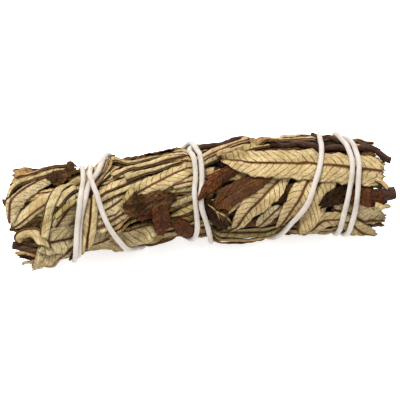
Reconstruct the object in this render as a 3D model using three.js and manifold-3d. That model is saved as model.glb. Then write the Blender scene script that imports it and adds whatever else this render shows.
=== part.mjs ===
// A smudge bundle of dried yerba santa: woody stems at the core, long leaves rolled round them,
// single leaves laid over those in turn, and one cotton string wound round the lot and knotted.
// Lengths are in millimetres and angles in degrees. +X runs along the bundle and +Z is up.
// A place on the bundle is [along, round]: along is X, and round is the angle from the top (+Z)
// towards the front (-Y), so 90 is the front, 180 the underside and 270 the back.
import * as THREE from 'three';
import { mergeVertices } from 'three/addons/utils/BufferGeometryUtils.js';
import Module from 'manifold-3d';

// Driving dimensions
const AXIS_HEIGHT = 12.4;
const SQUASH = { wide: 1.04, high: 0.96 };
const BEND = { sideways: 4.6, back: 1.9, at: 10, spread: 38 };
const GAP = 0.3;
const LEAF_THICK = 0.55;
const FOLDED_THICK = 0.95;
const CELL = { along: 3, across: 2.6 };
const CORE = { centreRadius: 1.9, ringRadius: 1.6, ringAt: 4.1, count: 5, firstAngle: 80 };
const LEAST_HEIGHT = 10;
const ROLL = { count: 7, span: 150, inner: 6.3, outer: 10, start: -47.5, end: 45.5, floorClear: 2.7 };
const STRING_DIAMETER = 1.3;
const FLOOR_CLEAR = 0.15;
const KNOT_RADIUS = 1.5;
const TAIL_LENGTH = 9;

const rad = THREE.MathUtils.degToRad;

// ---- The bundle's own coordinates ------------------------------------------------------------

const axisSide = (along) =>
  BEND.sideways * Math.exp(-(Math.abs((along - BEND.at) / BEND.spread) ** 3)) - BEND.back;

// How far the oval section stands out at an angle, as a share of the mean radius.
const ovalShare = (round) =>
  1 / Math.hypot(Math.sin(rad(round)) / SQUASH.wide, Math.cos(rad(round)) / SQUASH.high);

// The distance from the axis to a level plane that lies `clear` above the resting plane.
function floorReach(round, clear = 0) {
  const down = -Math.cos(rad(round));
  return down > 0.05 ? (AXIS_HEIGHT - clear) / down : Infinity;
}

function pointAt(along, round, radius) {
  return new THREE.Vector3(
    along,
    axisSide(along) - radius * Math.sin(rad(round)),
    AXIS_HEIGHT + radius * Math.cos(rad(round)),
  );
}

// ---- The height of what has been laid so far -------------------------------------------------

const RELIEF = { from: -56, to: 56, step: 0.5, turn: 2 };
const COLUMNS = Math.round((RELIEF.to - RELIEF.from) / RELIEF.step) + 1;
const ROWS = 360 / RELIEF.turn;
const relief = new Float64Array(COLUMNS * ROWS).fill(LEAST_HEIGHT);

const columnOf = (along) => (along - RELIEF.from) / RELIEF.step;
const reliefIndex = (column, row) =>
  THREE.MathUtils.clamp(column, 0, COLUMNS - 1) * ROWS + ((row % ROWS) + ROWS) % ROWS;

function heightAt(along, round) {
  return relief[reliefIndex(Math.round(columnOf(along)), Math.round(round / RELIEF.turn))];
}

function raiseRelief(along, round, radius, spare = 0.3) {
  const turn = THREE.MathUtils.radToDeg(spare / 11);
  const columns = [Math.round(columnOf(along - spare)), Math.round(columnOf(along + spare))];
  const rows = [Math.round((round - turn) / RELIEF.turn), Math.round((round + turn) / RELIEF.turn)];
  for (let c = columns[0]; c <= columns[1]; c++) {
    for (let r = rows[0]; r <= rows[1]; r++) {
      const index = reliefIndex(c, r);
      relief[index] = Math.max(relief[index], radius);
    }
  }
}

// ---- Paths on the bundle ---------------------------------------------------------------------

const MEAN_RADIUS = 12.5;
const MM_PER_DEGREE = (MEAN_RADIUS * Math.PI) / 180;

// A smooth path through [along, round] places, measured on the unrolled surface.
function pathOf(places) {
  const points = places.map(([along, round]) => new THREE.Vector3(along, round * MM_PER_DEGREE, 0));
  const curve = new THREE.CatmullRomCurve3(points, false, 'centripetal');
  curve.arcLengthDivisions = 60 * places.length;
  return curve;
}

// ---- Leaves ----------------------------------------------------------------------------------

// How each end of a blade is shaped: the share of the length that tapers, and the width left at
// the very end as a share of the full width.
const ENDS = {
  tip: { taper: 0.5, left: 0.1 },
  base: { taper: 0.35, left: 0.35 },
  cut: { taper: 0.06, left: 0.8 },
};

function widthShare(t, [startEnd, finishEnd]) {
  const side = ({ taper, left }, u) =>
    left + (1 - left) * Math.sin((Math.PI / 2) * Math.min(1, u / taper)) ** 0.9;
  return Math.min(side(ENDS[startEnd], t), side(ENDS[finishEnd], 1 - t));
}

// A leaf is a thin box whose grid is laid on the bundle. place(i, j) gives the grid's
// { along, round, inner } and the thickness is added outwards.
function laidSheet(cellsAlong, cellsAcross, place) {
  const box = new THREE.BoxGeometry(1, 1, 1, cellsAlong, cellsAcross, 1);
  const at = box.getAttribute('position');
  for (let k = 0; k < at.count; k++) {
    const i = Math.round((at.getX(k) + 0.5) * cellsAlong);
    const j = Math.round((at.getY(k) + 0.5) * cellsAcross);
    const { along, round, inner, outer } = place(i, j);
    const p = pointAt(along, round, at.getZ(k) > 0 ? outer : inner);
    at.setXYZ(k, p.x, p.y, p.z);
  }
  return facingOut(box);
}

// Merges a geometry's vertices and turns its faces outwards if they point in.
function facingOut(source) {
  const plain = source.index ? source.toNonIndexed() : source.clone();
  plain.deleteAttribute('normal');
  plain.deleteAttribute('uv');
  const merged = mergeVertices(plain, 1e-3);
  const at = merged.getAttribute('position');
  const [a, b, c] = [new THREE.Vector3(), new THREE.Vector3(), new THREE.Vector3()];
  let volume = 0;
  for (let k = 0; k < merged.index.count; k += 3) {
    a.fromBufferAttribute(at, merged.index.getX(k));
    b.fromBufferAttribute(at, merged.index.getX(k + 1));
    c.fromBufferAttribute(at, merged.index.getX(k + 2));
    volume += a.dot(b.cross(c));
  }
  if (volume < 0) merged.index.array.reverse();
  merged.computeVertexNormals();
  return merged;
}

// Lays one leaf over everything that is already on the bundle.
function laidLeaf(way, width, ends, thick) {
  const path = pathOf(way);
  const length = path.getLength();
  const cellsAlong = Math.max(4, Math.ceil(length / CELL.along));
  const cellsAcross = Math.max(1, Math.ceil(width / CELL.across));
  const grid = [];
  for (let i = 0; i <= cellsAlong; i++) {
    const t = i / cellsAlong;
    const centre = path.getPointAt(t);
    const heading = path.getTangentAt(t);
    const half = (width / 2) * widthShare(t, ends);
    grid.push([]);
    for (let j = 0; j <= cellsAcross; j++) {
      const offset = half * ((2 * j) / cellsAcross - 1);
      const along = centre.x - heading.y * offset;
      const round = (centre.y + heading.x * offset) / MM_PER_DEGREE;
      grid[i].push({ along, round, inner: heightAt(along, round) + GAP });
    }
  }
  smooth(grid);
  liftClear(grid);
  for (const place of grid.flat()) place.outer = place.inner + thick;
  coverRelief(grid);
  return laidSheet(cellsAlong, cellsAcross, (i, j) => grid[i][j]);
}

const SAMPLES = 6;
const SETTLE_PASSES = 12;

// Calls visit(mix, lift) all over a grid: mix(key) reads a value there, and lift(amount) asks for
// the grid to rise there by that amount.
function overGrid(grid, visit) {
  for (let i = 0; i < grid.length - 1; i++) {
    for (let j = 0; j < grid[0].length - 1; j++) {
      const corners = [grid[i][j], grid[i + 1][j], grid[i][j + 1], grid[i + 1][j + 1]];
      for (let a = 0; a <= SAMPLES; a++) {
        for (let b = 0; b <= SAMPLES; b++) {
          const [u, v] = [a / SAMPLES, b / SAMPLES];
          visitBetween(corners, [(1 - u) * (1 - v), u * (1 - v), (1 - u) * v, u * v], visit);
        }
      }
    }
  }
}

function visitBetween(places, share, visit, index) {
  const weight = share.reduce((sum, x) => sum + x * x, 0);
  const mix = (key) => places.reduce((sum, place, k) => sum + share[k] * place[key], 0);
  const lift = (amount) =>
    places.forEach((place, k) => {
      place.rise = Math.max(place.rise ?? 0, (amount * share[k]) / weight);
    });
  visit(mix, lift, index);
}

function riseBy(places, key) {
  for (const place of places) {
    place[key] += place.rise ?? 0;
    place.rise = 0;
  }
}

// A dried leaf is stiff, so it is smooth along its length.
function smooth(grid) {
  const before = grid.map((row) => row.map((place) => place.inner));
  grid.forEach((row, i) =>
    row.forEach((place, j) => {
      const ahead = before[Math.min(i + 1, grid.length - 1)][j];
      const behind = before[Math.max(i - 1, 0)][j];
      place.inner = (ahead + behind + 2 * before[i][j]) / 4;
    }),
  );
}

// Raises a grid until it lies clear of everything below it.
function liftClear(grid) {
  for (let pass = 0; pass < SETTLE_PASSES; pass++) {
    overGrid(grid, (mix, lift) => {
      lift(heightAt(mix('along'), mix('round')) + GAP - mix('inner'));
    });
    riseBy(grid.flat(), 'inner');
  }
}

function coverRelief(grid) {
  overGrid(grid, (mix) => raiseRelief(mix('along'), mix('round'), mix('outer')));
}

// A long leaf rolled round the core: its leading edge lies under the next one.
function rolledLeaf(index) {
  const firstAngle = (360 / ROLL.count) * index;
  const [cellsAlong, cellsAcross] = [12, 8];
  const ragged = [1.7 * Math.sin(2.4 * index + 0.5), 1.7 * Math.cos(3.1 * index)];
  const grid = [];
  for (let i = 0; i <= cellsAlong; i++) {
    grid.push([]);
    for (let j = 0; j <= cellsAcross; j++) {
      const share = j / cellsAcross;
      const round = firstAngle + ROLL.span * share;
      const start = ROLL.start + ragged[0];
      const along = start + (ROLL.end + ragged[1] - start) * (i / cellsAlong);
      const outerShare = share * ovalShare(round) + (1 - share);
      const full = (ROLL.inner + (ROLL.outer - ROLL.inner) * share) * outerShare + LEAF_THICK;
      const spare = (1 - share) * (ROLL.outer - ROLL.inner);
      const outer = Math.min(full, floorReach(round, ROLL.floorClear + spare));
      grid[i].push({ along, round, outer, inner: outer - LEAF_THICK });
    }
  }
  coverRelief(grid);
  return laidSheet(cellsAlong, cellsAcross, (i, j) => grid[i][j]);
}

// ---- Leaves on the underside, which the bundle rests on --------------------------------------

const UNDERSIDE = { halfAngle: 34, cell: 1.5, cellsAcross: 6, curl: 1.2, curlFrom: 13 };
const DIP = { depth: 1.8, level: 0.8, reach: 1.7 };

// These lie flat on the resting plane, curl up at both sides, and dip inwards where a turn of
// string crosses them.
function undersideLeaf(from, to, crossings) {
  const cellsAlong = Math.ceil((to - from) / UNDERSIDE.cell);
  const grid = [];
  for (let i = 0; i <= cellsAlong; i++) {
    const t = i / cellsAlong;
    const along = from + (to - from) * t;
    const near = Math.min(...crossings.map((x) => Math.abs(along - x)));
    const dip = DIP.depth * Math.exp(-((Math.max(0, near - DIP.level) / DIP.reach) ** 2));
    const half = UNDERSIDE.halfAngle * widthShare(t, ['base', 'base']);
    grid.push([]);
    for (let j = 0; j <= UNDERSIDE.cellsAcross; j++) {
      const aside = half * ((2 * j) / UNDERSIDE.cellsAcross - 1);
      const round = 180 + aside;
      const curled = Math.max(0, (Math.abs(aside) - UNDERSIDE.curlFrom) / 20) ** 1.5;
      const flat = Math.min(floorReach(round), AXIS_HEIGHT + 0.3 - UNDERSIDE.curl * curled);
      const least = heightAt(along, round) + GAP + LEAF_THICK;
      const outer = Math.max(least, dip < 0.05 ? flat : flat - dip);
      grid[i].push({ along, round, inner: outer - LEAF_THICK });
    }
  }
  liftClear(grid);
  for (const place of grid.flat()) {
    place.outer = Math.min(place.inner + LEAF_THICK, floorReach(place.round));
  }
  coverRelief(grid);
  return laidSheet(cellsAlong, UNDERSIDE.cellsAcross, (i, j) => grid[i][j]);
}

// ---- Stems -----------------------------------------------------------------------------------

function roundSection(radius, sides) {
  const section = new THREE.Shape();
  for (let k = 0; k < sides; k++) {
    const turn = (2 * Math.PI * k) / sides;
    const [x, y] = [radius * Math.cos(turn), radius * Math.sin(turn)];
    if (k) section.lineTo(x, y);
    else section.moveTo(x, y);
  }
  section.closePath();
  return section;
}

function tube(points, radius, sides, steps) {
  const path = new THREE.CatmullRomCurve3(points, false, 'centripetal');
  path.arcLengthDivisions = 12 * points.length;
  const options = { steps, bevelEnabled: false, extrudePath: path };
  return facingOut(new THREE.ExtrudeGeometry(roundSection(radius, sides), options));
}

// A straight stem of the core, with a slight sway of its own.
function coreStem({ radius, at, angle, from, to }) {
  const points = [];
  const count = 8;
  for (let k = 0; k <= count; k++) {
    const along = from + ((to - from) * k) / count;
    points.push(pointAt(along, angle + 2 * Math.sin(k + angle), at));
  }
  return tube(points, radius, 8, count);
}

// A stem or twig lying among the leaves.
function laidStem(way, radius) {
  const path = pathOf(way);
  const steps = Math.max(4, Math.round(path.getLength() / 4));
  const places = placesAlong(path, steps, radius);
  settleTube(places, radius, 1);
  overTube(places, (mix) => raiseRelief(mix('along'), mix('round'), mix('centre') + radius, radius));
  const points = places.map(({ along, round, centre }) => pointAt(along, round, centre));
  return tube(points, radius, 7, steps);
}

function placesAlong(path, steps, radius) {
  return Array.from({ length: steps + 1 }, (_, k) => {
    const p = path.getPointAt(k / steps);
    const heading = path.getTangentAt(k / steps);
    const round = p.y / MM_PER_DEGREE;
    const centre = heightAt(p.x, round) + GAP + radius;
    return { along: p.x, round, aside: heading.y, ahead: heading.x, centre };
  });
}

function overTube(places, visit) {
  for (let k = 0; k < places.length - 1; k++) {
    for (let a = 0; a < SAMPLES; a++) {
      const u = a / SAMPLES;
      visitBetween([places[k], places[k + 1]], [1 - u, u], visit, SAMPLES * k + a);
    }
  }
}

// How high a tube's centre must be at a sample, to clear the relief over its whole width.
function clearOfRelief(mix, radius) {
  let least = 0;
  for (const share of [-1, -0.5, 0, 0.5, 1]) {
    const along = mix('along') - mix('aside') * radius * share;
    const round = mix('round') + (mix('ahead') * radius * share) / MM_PER_DEGREE;
    least = Math.max(least, heightAt(along, round) + GAP + radius * Math.sqrt(1 - share * share));
  }
  return least;
}

// Presses a tube down on the bundle. stiff is 1 for a straight twig, and less for a string, which
// bends round the bundle but still bridges the hollows.
function settleTube(places, radius, stiff, clearOfItself = () => 0) {
  for (let pass = 0; pass < SETTLE_PASSES; pass++) {
    for (let k = 1; k < places.length - 1; k++) {
      const level = ((places[k - 1].centre + places[k + 1].centre) / 2) * stiff;
      places[k].centre = Math.max(places[k].centre, level);
    }
    overTube(places, (mix, lift, index) => {
      lift(Math.max(clearOfRelief(mix, radius), clearOfItself(mix, index)) - mix('centre'));
    });
    riseBy(places, 'centre');
  }
  for (const place of places) {
    place.centre = Math.min(place.centre, floorReach(place.round, radius + FLOOR_CLEAR));
  }
}

// ---- The string ------------------------------------------------------------------------------

// One length of string: it starts at the knot on the back, takes two turns at the stem end, winds
// to the other end, takes two turns there and winds back to the knot.
const STRING_WAY = [
  [29, -92], [33, -84], [37, -70], [39.9, -46], [40.9, 0], [41, 16], [40.6, 30], [39.8, 53],
  [39.2, 73], [38.2, 96], [37.5, 118], [36.9, 145], [36.8, 180], [37, 230], [37.9, 300],
  [38.6, 330], [39.2, 359], [39.3, 376], [39, 388], [38.2, 403], [37.3, 418], [36.2, 441],
  [35.6, 465], [35.1, 485], [34.8, 540], [34.7, 590], [33.8, 640], [33, 672],
  [32.2, 712], [31.1, 736], [29.3, 757], [27, 781], [24.2, 802], [21, 832], [17.6, 852],
  [15.4, 875], [14.8, 900], [13.6, 928], [9, 960], [3, 995], [-1.6, 1030],
  [-1.6, 1062], [-1.2, 1087], [-1.4, 1104], [-1.9, 1116], [-1.9, 1135], [-1.7, 1156],
  [-1.7, 1175], [-3, 1198], [-5.4, 1222], [-6.6, 1242], [-6.9, 1265], [-8.2, 1292],
  [-13, 1325], [-19, 1353], [-24.2, 1405], [-26.6, 1436], [-28.6, 1447], [-30.2, 1469],
  [-31.4, 1486], [-32.5, 1515], [-33.2, 1552], [-33.5, 1585], [-33.5, 1640], [-32.8, 1670],
  [-31.6, 1705], [-30.3, 1766], [-30.4, 1802], [-31.4, 1829], [-32.8, 1861], [-34.4, 1910],
  [-35.3, 1940], [-35.3, 2005], [-34, 2032], [-30, 2068], [-28.1, 2130],
  [-28.5, 2160], [-27, 2188], [-25.5, 2215], [-23.2, 2237], [-20.1, 2260], [-17.2, 2278],
  [-15.4, 2305], [-14.8, 2340], [-14, 2372], [-10, 2405], [-5, 2437],
  [-0.8, 2468], [0.3, 2509], [0.4, 2536], [0, 2554], [-0.4, 2565], [-0.4, 2580], [0.6, 2602],
  [1.8, 2635], [2.5, 2667], [2.9, 2700], [3.9, 2730], [8, 2754], [16, 2774], [24, 2786],
  [29, 2788],
];
const STRING_STEP = 2.8;
const STRING_SIDES = 7;
const STRING_STIFF = 0.975;
const STRING_CLEAR = 0.12;
const KNOT_PLACE = [29, -92];

// The string is drawn tight over everything, and over its own earlier turns.
function woundString() {
  const radius = STRING_DIAMETER / 2;
  const path = pathOf(STRING_WAY);
  const steps = Math.round(path.getLength() / STRING_STEP);
  const places = placesAlong(path, steps, radius);
  settleTube(places, radius, STRING_STIFF, (mix, index) => {
    let least = 0;
    overTube(places.slice(0, Math.max(0, Math.floor(index / SAMPLES) - 8)), (earlier) => {
      const turn = mix('round') - earlier('round');
      const across = (turn - 360 * Math.round(turn / 360)) * MM_PER_DEGREE;
      const apart = Math.hypot(mix('along') - earlier('along'), across);
      const touching = STRING_DIAMETER + STRING_CLEAR;
      if (apart < touching) {
        least = Math.max(least, earlier('centre') + Math.sqrt(touching ** 2 - apart ** 2));
      }
    });
    return least;
  });
  const points = places.map(({ along, round, centre }) => pointAt(along, round, centre));
  return { points, steps, radius };
}

// ---- Putting it together ---------------------------------------------------------------------

const CREAM = { color: 0xc9bd8e, roughness: 0.9 };
const OLIVE = { color: 0xa9a06b, roughness: 0.85 };
const DARK = { color: 0x4a2d1a, roughness: 0.45 };
const WOOD = { color: 0x4b3325, roughness: 0.75 };
const COTTON = { color: 0xe9e3d8, roughness: 0.95 };

// Each leaf is [name, finish, width, shape of its two ends, way], from the innermost out.
const BROAD_TO_TIP = ['base', 'tip'];
const TIP_TO_BROAD = ['tip', 'base'];
const CUT_TO_TIP = ['cut', 'tip'];
const TIP_TO_CUT = ['tip', 'cut'];
const LOWER_LEAVES = [
  ['leaf_flank_front_left', CREAM, 6, BROAD_TO_TIP, [[-47, 136], [-30, 133], [-8, 130]]],
  ['leaf_flank_front_right', CREAM, 6, TIP_TO_BROAD, [[-3, 129], [18, 131], [45, 135]]],
  ['leaf_flank_back_left', CREAM, 6, BROAD_TO_TIP, [[-48, 226], [-32, 228], [-12, 231]]],
  ['leaf_flank_back_right', OLIVE, 6, TIP_TO_BROAD, [[-8, 229], [20, 232], [45, 227]]],
];
const TIP_END_LEAVES = [
  ['leaf_left_ground', CREAM, 7, BROAD_TO_TIP, [[-41, 68], [-36, 48], [-30, 16]]],
  ['leaf_left_low', CREAM, 5.2, CUT_TO_TIP, [[-46.5, 106], [-42, 104], [-37.5, 90]]],
  ['leaf_left_narrow', CREAM, 3.4, CUT_TO_TIP, [[-49, 48], [-42.7, 29], [-37.7, 17], [-33, 5]]],
  ['leaf_left_curled', CREAM, 6.2, CUT_TO_TIP, [[-47.8, 61], [-44.8, 67], [-39.3, 71], [-34, 77]]],
  ['leaf_left_ribbed', CREAM, 4.8, BROAD_TO_TIP,
    [[-49.4, 44], [-48.1, 20], [-45.2, 2], [-41.3, -13], [-36, -22]]],
  ['strip_left_rim', OLIVE, 2, ['base', 'cut'],
    [[-49.4, 13], [-48.6, -3], [-45.6, -16], [-41.2, -28], [-33, -48]]],
];
const MIDDLE_LEAVES = [
  ['leaf_long_low', CREAM, 4.6, ['base', 'base'], [[-34, 108], [-26, 96], [-19.3, 91], [-11, 82]]],
  ['leaf_middle_netted', CREAM, 3.8, BROAD_TO_TIP, [[-29, 53], [-23.4, 40], [-17, 25]]],
  ['leaf_middle_lower', CREAM, 2.5, CUT_TO_TIP, [[-28, 32], [-20.5, 24], [-14, 14]]],
  ['leaf_middle_upper', CREAM, 2.8, CUT_TO_TIP, [[-27.5, 22], [-20.3, 11], [-13, 0]]],
  ['strip_middle_lower', OLIVE, 2.4, TIP_TO_CUT, [[-9.5, 71], [-2, 61], [3, 56]]],
  ['strip_middle_upper', CREAM, 2.4, TIP_TO_CUT, [[-11, 56], [-3, 46], [2, 40]]],
  ['strip_left_bent', OLIVE, 2.1, ['cut', 'cut'],
    [[-41.3, 62], [-40.2, 46], [-39.1, 30], [-35.8, 9], [-30.6, -12], [-27.5, -24]]],
  ['leaf_upright', CREAM, 2.7, TIP_TO_CUT, [[-31.8, 92], [-29.6, 56], [-28.2, 20]]],
  ['leaf_centre', CREAM, 6.2, ['base', 'base'], [[-20, 38], [-11.9, 22], [0, -4]]],
  ['strip_top_lower', OLIVE, 2.2, CUT_TO_TIP, [[-19.4, 9], [-14.4, 2], [-4, -11]]],
  ['strip_top_upper', CREAM, 2.3, CUT_TO_TIP, [[-23, 1], [-15.1, -13], [-3, -19]]],
  ['strip_crest', CREAM, 2.2, ['cut', 'cut'], [[-24, -31], [-16, -31], [-7, -44]]],
  ['dark_leaf_centre', DARK, 5, ['cut', 'base'], [[-20, 47], [-15, 50], [-8, 46]]],
];
const STEM_END_LEAVES = [
  ['leaf_right_first', CREAM, 6.2, TIP_TO_BROAD, [[6.5, 103], [11.6, 68], [16.5, 47], [23, 22]]],
  ['leaf_end_upper', CREAM, 4.2, TIP_TO_CUT, [[34, 67], [41, 76], [47.5, 84]]],
  ['leaf_end_lower', CREAM, 5.2, TIP_TO_CUT, [[25.5, 100], [31.8, 85], [37, 89], [41, 103], [45.6, 126]]],
  ['leaf_right_third', CREAM, 4.8, TIP_TO_BROAD, [[25.5, 95], [29.5, 62], [34.5, 32]]],
  ['leaf_right_second', CREAM, 5.6, TIP_TO_BROAD, [[19.2, 105], [23.5, 67], [29, 24]]],
  ['dark_leaf_netted', DARK, 4.8, BROAD_TO_TIP, [[18.5, 25], [11.2, 38], [3, 58]]],
  ['dark_leaf_right', DARK, 4.6, TIP_TO_CUT, [[28.5, 67], [33, 56], [38, 52], [46, 53]]],
  ['dark_leaf_red', DARK, 4, CUT_TO_TIP, [[10.5, 7], [4.4, 26], [-1, 50]]],
  ['leaf_top_middle', OLIVE, 3.2, CUT_TO_TIP, [[-1, -3], [6.4, -13], [14, -30]]],
  ['leaf_broad', CREAM, 9.2, TIP_TO_CUT,
    [[5.3, -1], [10.8, 4], [17.2, 8], [23.3, 10], [30.8, 14], [41.6, 18], [48, 21]]],
];
const BACK_LEAVES = [
  ['leaf_back_low_left', CREAM, 8, BROAD_TO_TIP, [[-49, 252], [-36, 244], [-20, 236], [-8, 246]]],
  ['leaf_back_low_middle', CREAM, 8, TIP_TO_BROAD, [[-14, 264], [2, 251], [20, 240]]],
  ['leaf_back_low_right', CREAM, 7.6, TIP_TO_CUT, [[15, 264], [30, 253], [47, 244]]],
  ['leaf_back_high_left', OLIVE, 6.5, CUT_TO_TIP, [[-48, 286], [-34, 276], [-17, 270]]],
  ['dark_leaf_back', DARK, 6, BROAD_TO_TIP, [[-24, 292], [-8, 285], [10, 277]]],
  ['leaf_back_high_right', CREAM, 6.5, TIP_TO_CUT, [[6, 298], [24, 288], [45, 280]]],
];

// Each stem or twig is [name, radius, way].
const STEM_STUB = ['stem_stub_left', 0.9, [[-49.4, 82], [-46, 85], [-41, 87]]];
const STEM_TOP = ['stem_top', 0.9,
  [[1, -48], [12, -52], [20.2, -44], [29.5, -24], [37.2, -19], [42, -18], [50, -6]]];
const STEM_END = ['stem_end', 1.2, [[42.2, 56], [46, 55], [51.4, 53]]];
const TWIG_TOP = ['twig_top', 0.5, [[27, 306], [32, 308], [37, 310], [43, 317], [48, 328]]];

// Each is [name, from, to, where a turn of string crosses it].
const UNDERSIDE_LEAVES = [
  ['leaf_underside_left', -46, -16.8, [-35.3, -33.5]],
  ['leaf_underside_middle', -12.8, 12.6, [-6.9, 2.9]],
  ['leaf_underside_right', 17, 45, [34.8, 36.8]],
];

const bundle = new THREE.Group();

function addPiece(name, finish, geometry) {
  const mesh = new THREE.Mesh(geometry, new THREE.MeshStandardMaterial({ ...finish, metalness: 0 }));
  mesh.name = name;
  bundle.add(mesh);
}

function addCore() {
  const { centreRadius, ringRadius, ringAt, count, firstAngle } = CORE;
  const centre = { radius: centreRadius, at: 0, angle: 0, from: -48.5, to: 49 };
  addPiece('core_stem_centre', WOOD, coreStem(centre));
  for (let k = 0; k < count; k++) {
    const angle = firstAngle + (360 / count) * k;
    const from = -49 + 1.3 * (k % 3);
    const to = k ? 47 + 1.1 * (k % 3) : 51.6;
    addPiece(`core_stem_${k + 1}`, WOOD, coreStem({ radius: ringRadius, at: ringAt, angle, from, to }));
  }
}

const wasm = await Module();
wasm.setup();

function solidOf(geometry) {
  return new wasm.Manifold(
    new wasm.Mesh({
      numProp: 3,
      vertProperties: geometry.getAttribute('position').array,
      triVerts: new Uint32Array(geometry.index.array),
    }),
  );
}

function geometryOf(solid) {
  const { vertProperties, triVerts } = solid.getMesh();
  return new THREE.BufferGeometry()
    .setAttribute('position', new THREE.BufferAttribute(vertProperties, 3))
    .setIndex(new THREE.BufferAttribute(triVerts, 1));
}

// The string with its knot and the two short tails, as one piece.
function knottedString() {
  const { points, steps, radius } = woundString();
  const level = points[0].distanceTo(pointAt(KNOT_PLACE[0], 0, 0)) - radius;
  const knot = new THREE.SphereGeometry(KNOT_RADIUS, 10, 7);
  knot.scale(1.15, 0.95, 0.85);
  knot.rotateX(rad(KNOT_PLACE[1]));
  const [x, y, z] = pointAt(...KNOT_PLACE, level + KNOT_RADIUS * 0.85);
  knot.translate(x, y, z);
  const pieces = [knot, tube(points, radius, STRING_SIDES, steps)];
  for (const [side, turn] of [[-1, 12], [1, -10]]) {
    const way = [0, 0.33, 0.66, 1].map((share) => [
      KNOT_PLACE[0] + side * TAIL_LENGTH * share,
      KNOT_PLACE[1] + turn * share,
    ]);
    const places = placesAlong(pathOf(way), 5, radius);
    settleTube(places, radius, 1);
    places[0].centre = Math.max(places[0].centre, level + radius);
    pieces.push(tube(places.map((p) => pointAt(p.along, p.round, p.centre)), radius, STRING_SIDES, 5));
  }
  const solids = pieces.map((piece) => solidOf(facingOut(piece)));
  return geometryOf(wasm.Manifold.union(solids));
}

function addLeaves(leaves) {
  for (const [name, finish, width, ends, way] of leaves) {
    const thick = name.startsWith('strip') ? FOLDED_THICK : LEAF_THICK;
    addPiece(name, finish, laidLeaf(way, width, ends, thick));
  }
}

function addStem([name, radius, way]) {
  addPiece(name, WOOD, laidStem(way, radius));
}

addCore();
for (let k = 0; k < ROLL.count; k++) addPiece(`rolled_leaf_${k + 1}`, OLIVE, rolledLeaf(k));
for (const [name, ...shape] of UNDERSIDE_LEAVES) addPiece(name, CREAM, undersideLeaf(...shape));
addLeaves(LOWER_LEAVES);
addStem(STEM_STUB);
addLeaves(TIP_END_LEAVES);
addLeaves(MIDDLE_LEAVES);
addStem(STEM_END);
addStem(STEM_TOP);
addLeaves(STEM_END_LEAVES);
addLeaves(BACK_LEAVES);
addStem(TWIG_TOP);
addPiece('cotton_string', COTTON, knottedString());

// The origin is at the middle of the bundle's footprint, on the resting plane.
const extent = new THREE.Box3().setFromObject(bundle);
const middle = extent.getCenter(new THREE.Vector3());
bundle.position.set(-middle.x, -middle.y, -extent.min.z);

export default bundle;
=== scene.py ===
"""A smudge bundle of dried yerba santa, bound with one length of soft cotton string.

Every leaf is laid on the bundle in turn, from the inside out. A place on the bundle is
[along, round]: along is in millimetres down its length, and round is the angle in degrees
from the top towards the front. The relief holds how far out the bundle reaches so far.
"""
import math

import bpy
import numpy as np
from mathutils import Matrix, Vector


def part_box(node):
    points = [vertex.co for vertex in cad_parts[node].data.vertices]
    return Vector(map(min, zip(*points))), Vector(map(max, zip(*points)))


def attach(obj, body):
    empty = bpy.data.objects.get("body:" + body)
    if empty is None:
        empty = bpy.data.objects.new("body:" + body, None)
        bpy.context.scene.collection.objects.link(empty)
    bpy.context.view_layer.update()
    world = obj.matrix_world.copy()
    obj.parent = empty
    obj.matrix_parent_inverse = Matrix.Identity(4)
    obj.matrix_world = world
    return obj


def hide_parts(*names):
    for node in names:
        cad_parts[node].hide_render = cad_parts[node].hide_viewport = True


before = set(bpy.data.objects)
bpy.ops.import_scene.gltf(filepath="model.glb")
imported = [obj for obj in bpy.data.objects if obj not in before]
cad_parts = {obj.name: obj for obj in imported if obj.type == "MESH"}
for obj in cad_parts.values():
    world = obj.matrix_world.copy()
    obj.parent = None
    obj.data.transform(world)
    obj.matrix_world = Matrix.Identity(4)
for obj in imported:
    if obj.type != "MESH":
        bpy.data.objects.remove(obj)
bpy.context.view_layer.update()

MM = 0.001

# ---- Camera ----------------------------------------------------------------------------------

# Angles in degrees, lengths in millimetres.
VIEW = {"azimuth": -5.6, "elevation": 50.0, "distance": 420.0, "lens": 142.9, "sensor": 36.0,
        "look_at": (-0.6, -0.75, 12.0), "near": 10.0, "far": 20000.0}


def add_camera():
    azimuth = math.radians(VIEW["azimuth"])
    elevation = math.radians(VIEW["elevation"])
    back = Vector((math.sin(azimuth) * math.cos(elevation),
                   -math.cos(azimuth) * math.cos(elevation), math.sin(elevation)))
    look_at = Vector(VIEW["look_at"]) * MM
    bpy.ops.object.camera_add(location=look_at + back * VIEW["distance"] * MM)
    camera = bpy.context.object
    camera.name = "camera"
    camera.rotation_mode = "QUATERNION"
    camera.rotation_quaternion = (-back).to_track_quat("-Z", "Y")
    camera.data.lens = VIEW["lens"]
    camera.data.sensor_width = VIEW["sensor"]
    camera.data.clip_start = VIEW["near"] * MM
    camera.data.clip_end = VIEW["far"] * MM
    camera.data.dof.use_dof = False
    bpy.context.scene.camera = camera


add_camera()

# ---- The bundle's own coordinates ------------------------------------------------------------

low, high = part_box("core_stem_centre")
CENTRE_FROM_STEM = -0.25
AXIS = {"height": 12.4, "x": (low.x + high.x) / 2 / MM + CENTRE_FROM_STEM, "y": -0.753}
# The bundle bows towards the back by bow, most at the place middle, and fades out over reach.
BOW = {"bow": 4.6, "middle": 10.0, "reach": 38.0, "shift": -1.9}
MEAN_RADIUS = 12.5
PER_DEGREE = math.radians(MEAN_RADIUS)
OVAL_WIDE, OVAL_HIGH = 1.04, 0.96
FAR = 99.0
LEVEL = 0.05


def axis_side(along):
    return BOW["bow"] * np.exp(-np.abs((along - BOW["middle"]) / BOW["reach"]) ** 3) + BOW["shift"]


def oval(around):
    turn = np.radians(around)
    return 1 / np.hypot(np.sin(turn) / OVAL_WIDE, np.cos(turn) / OVAL_HIGH)


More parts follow.
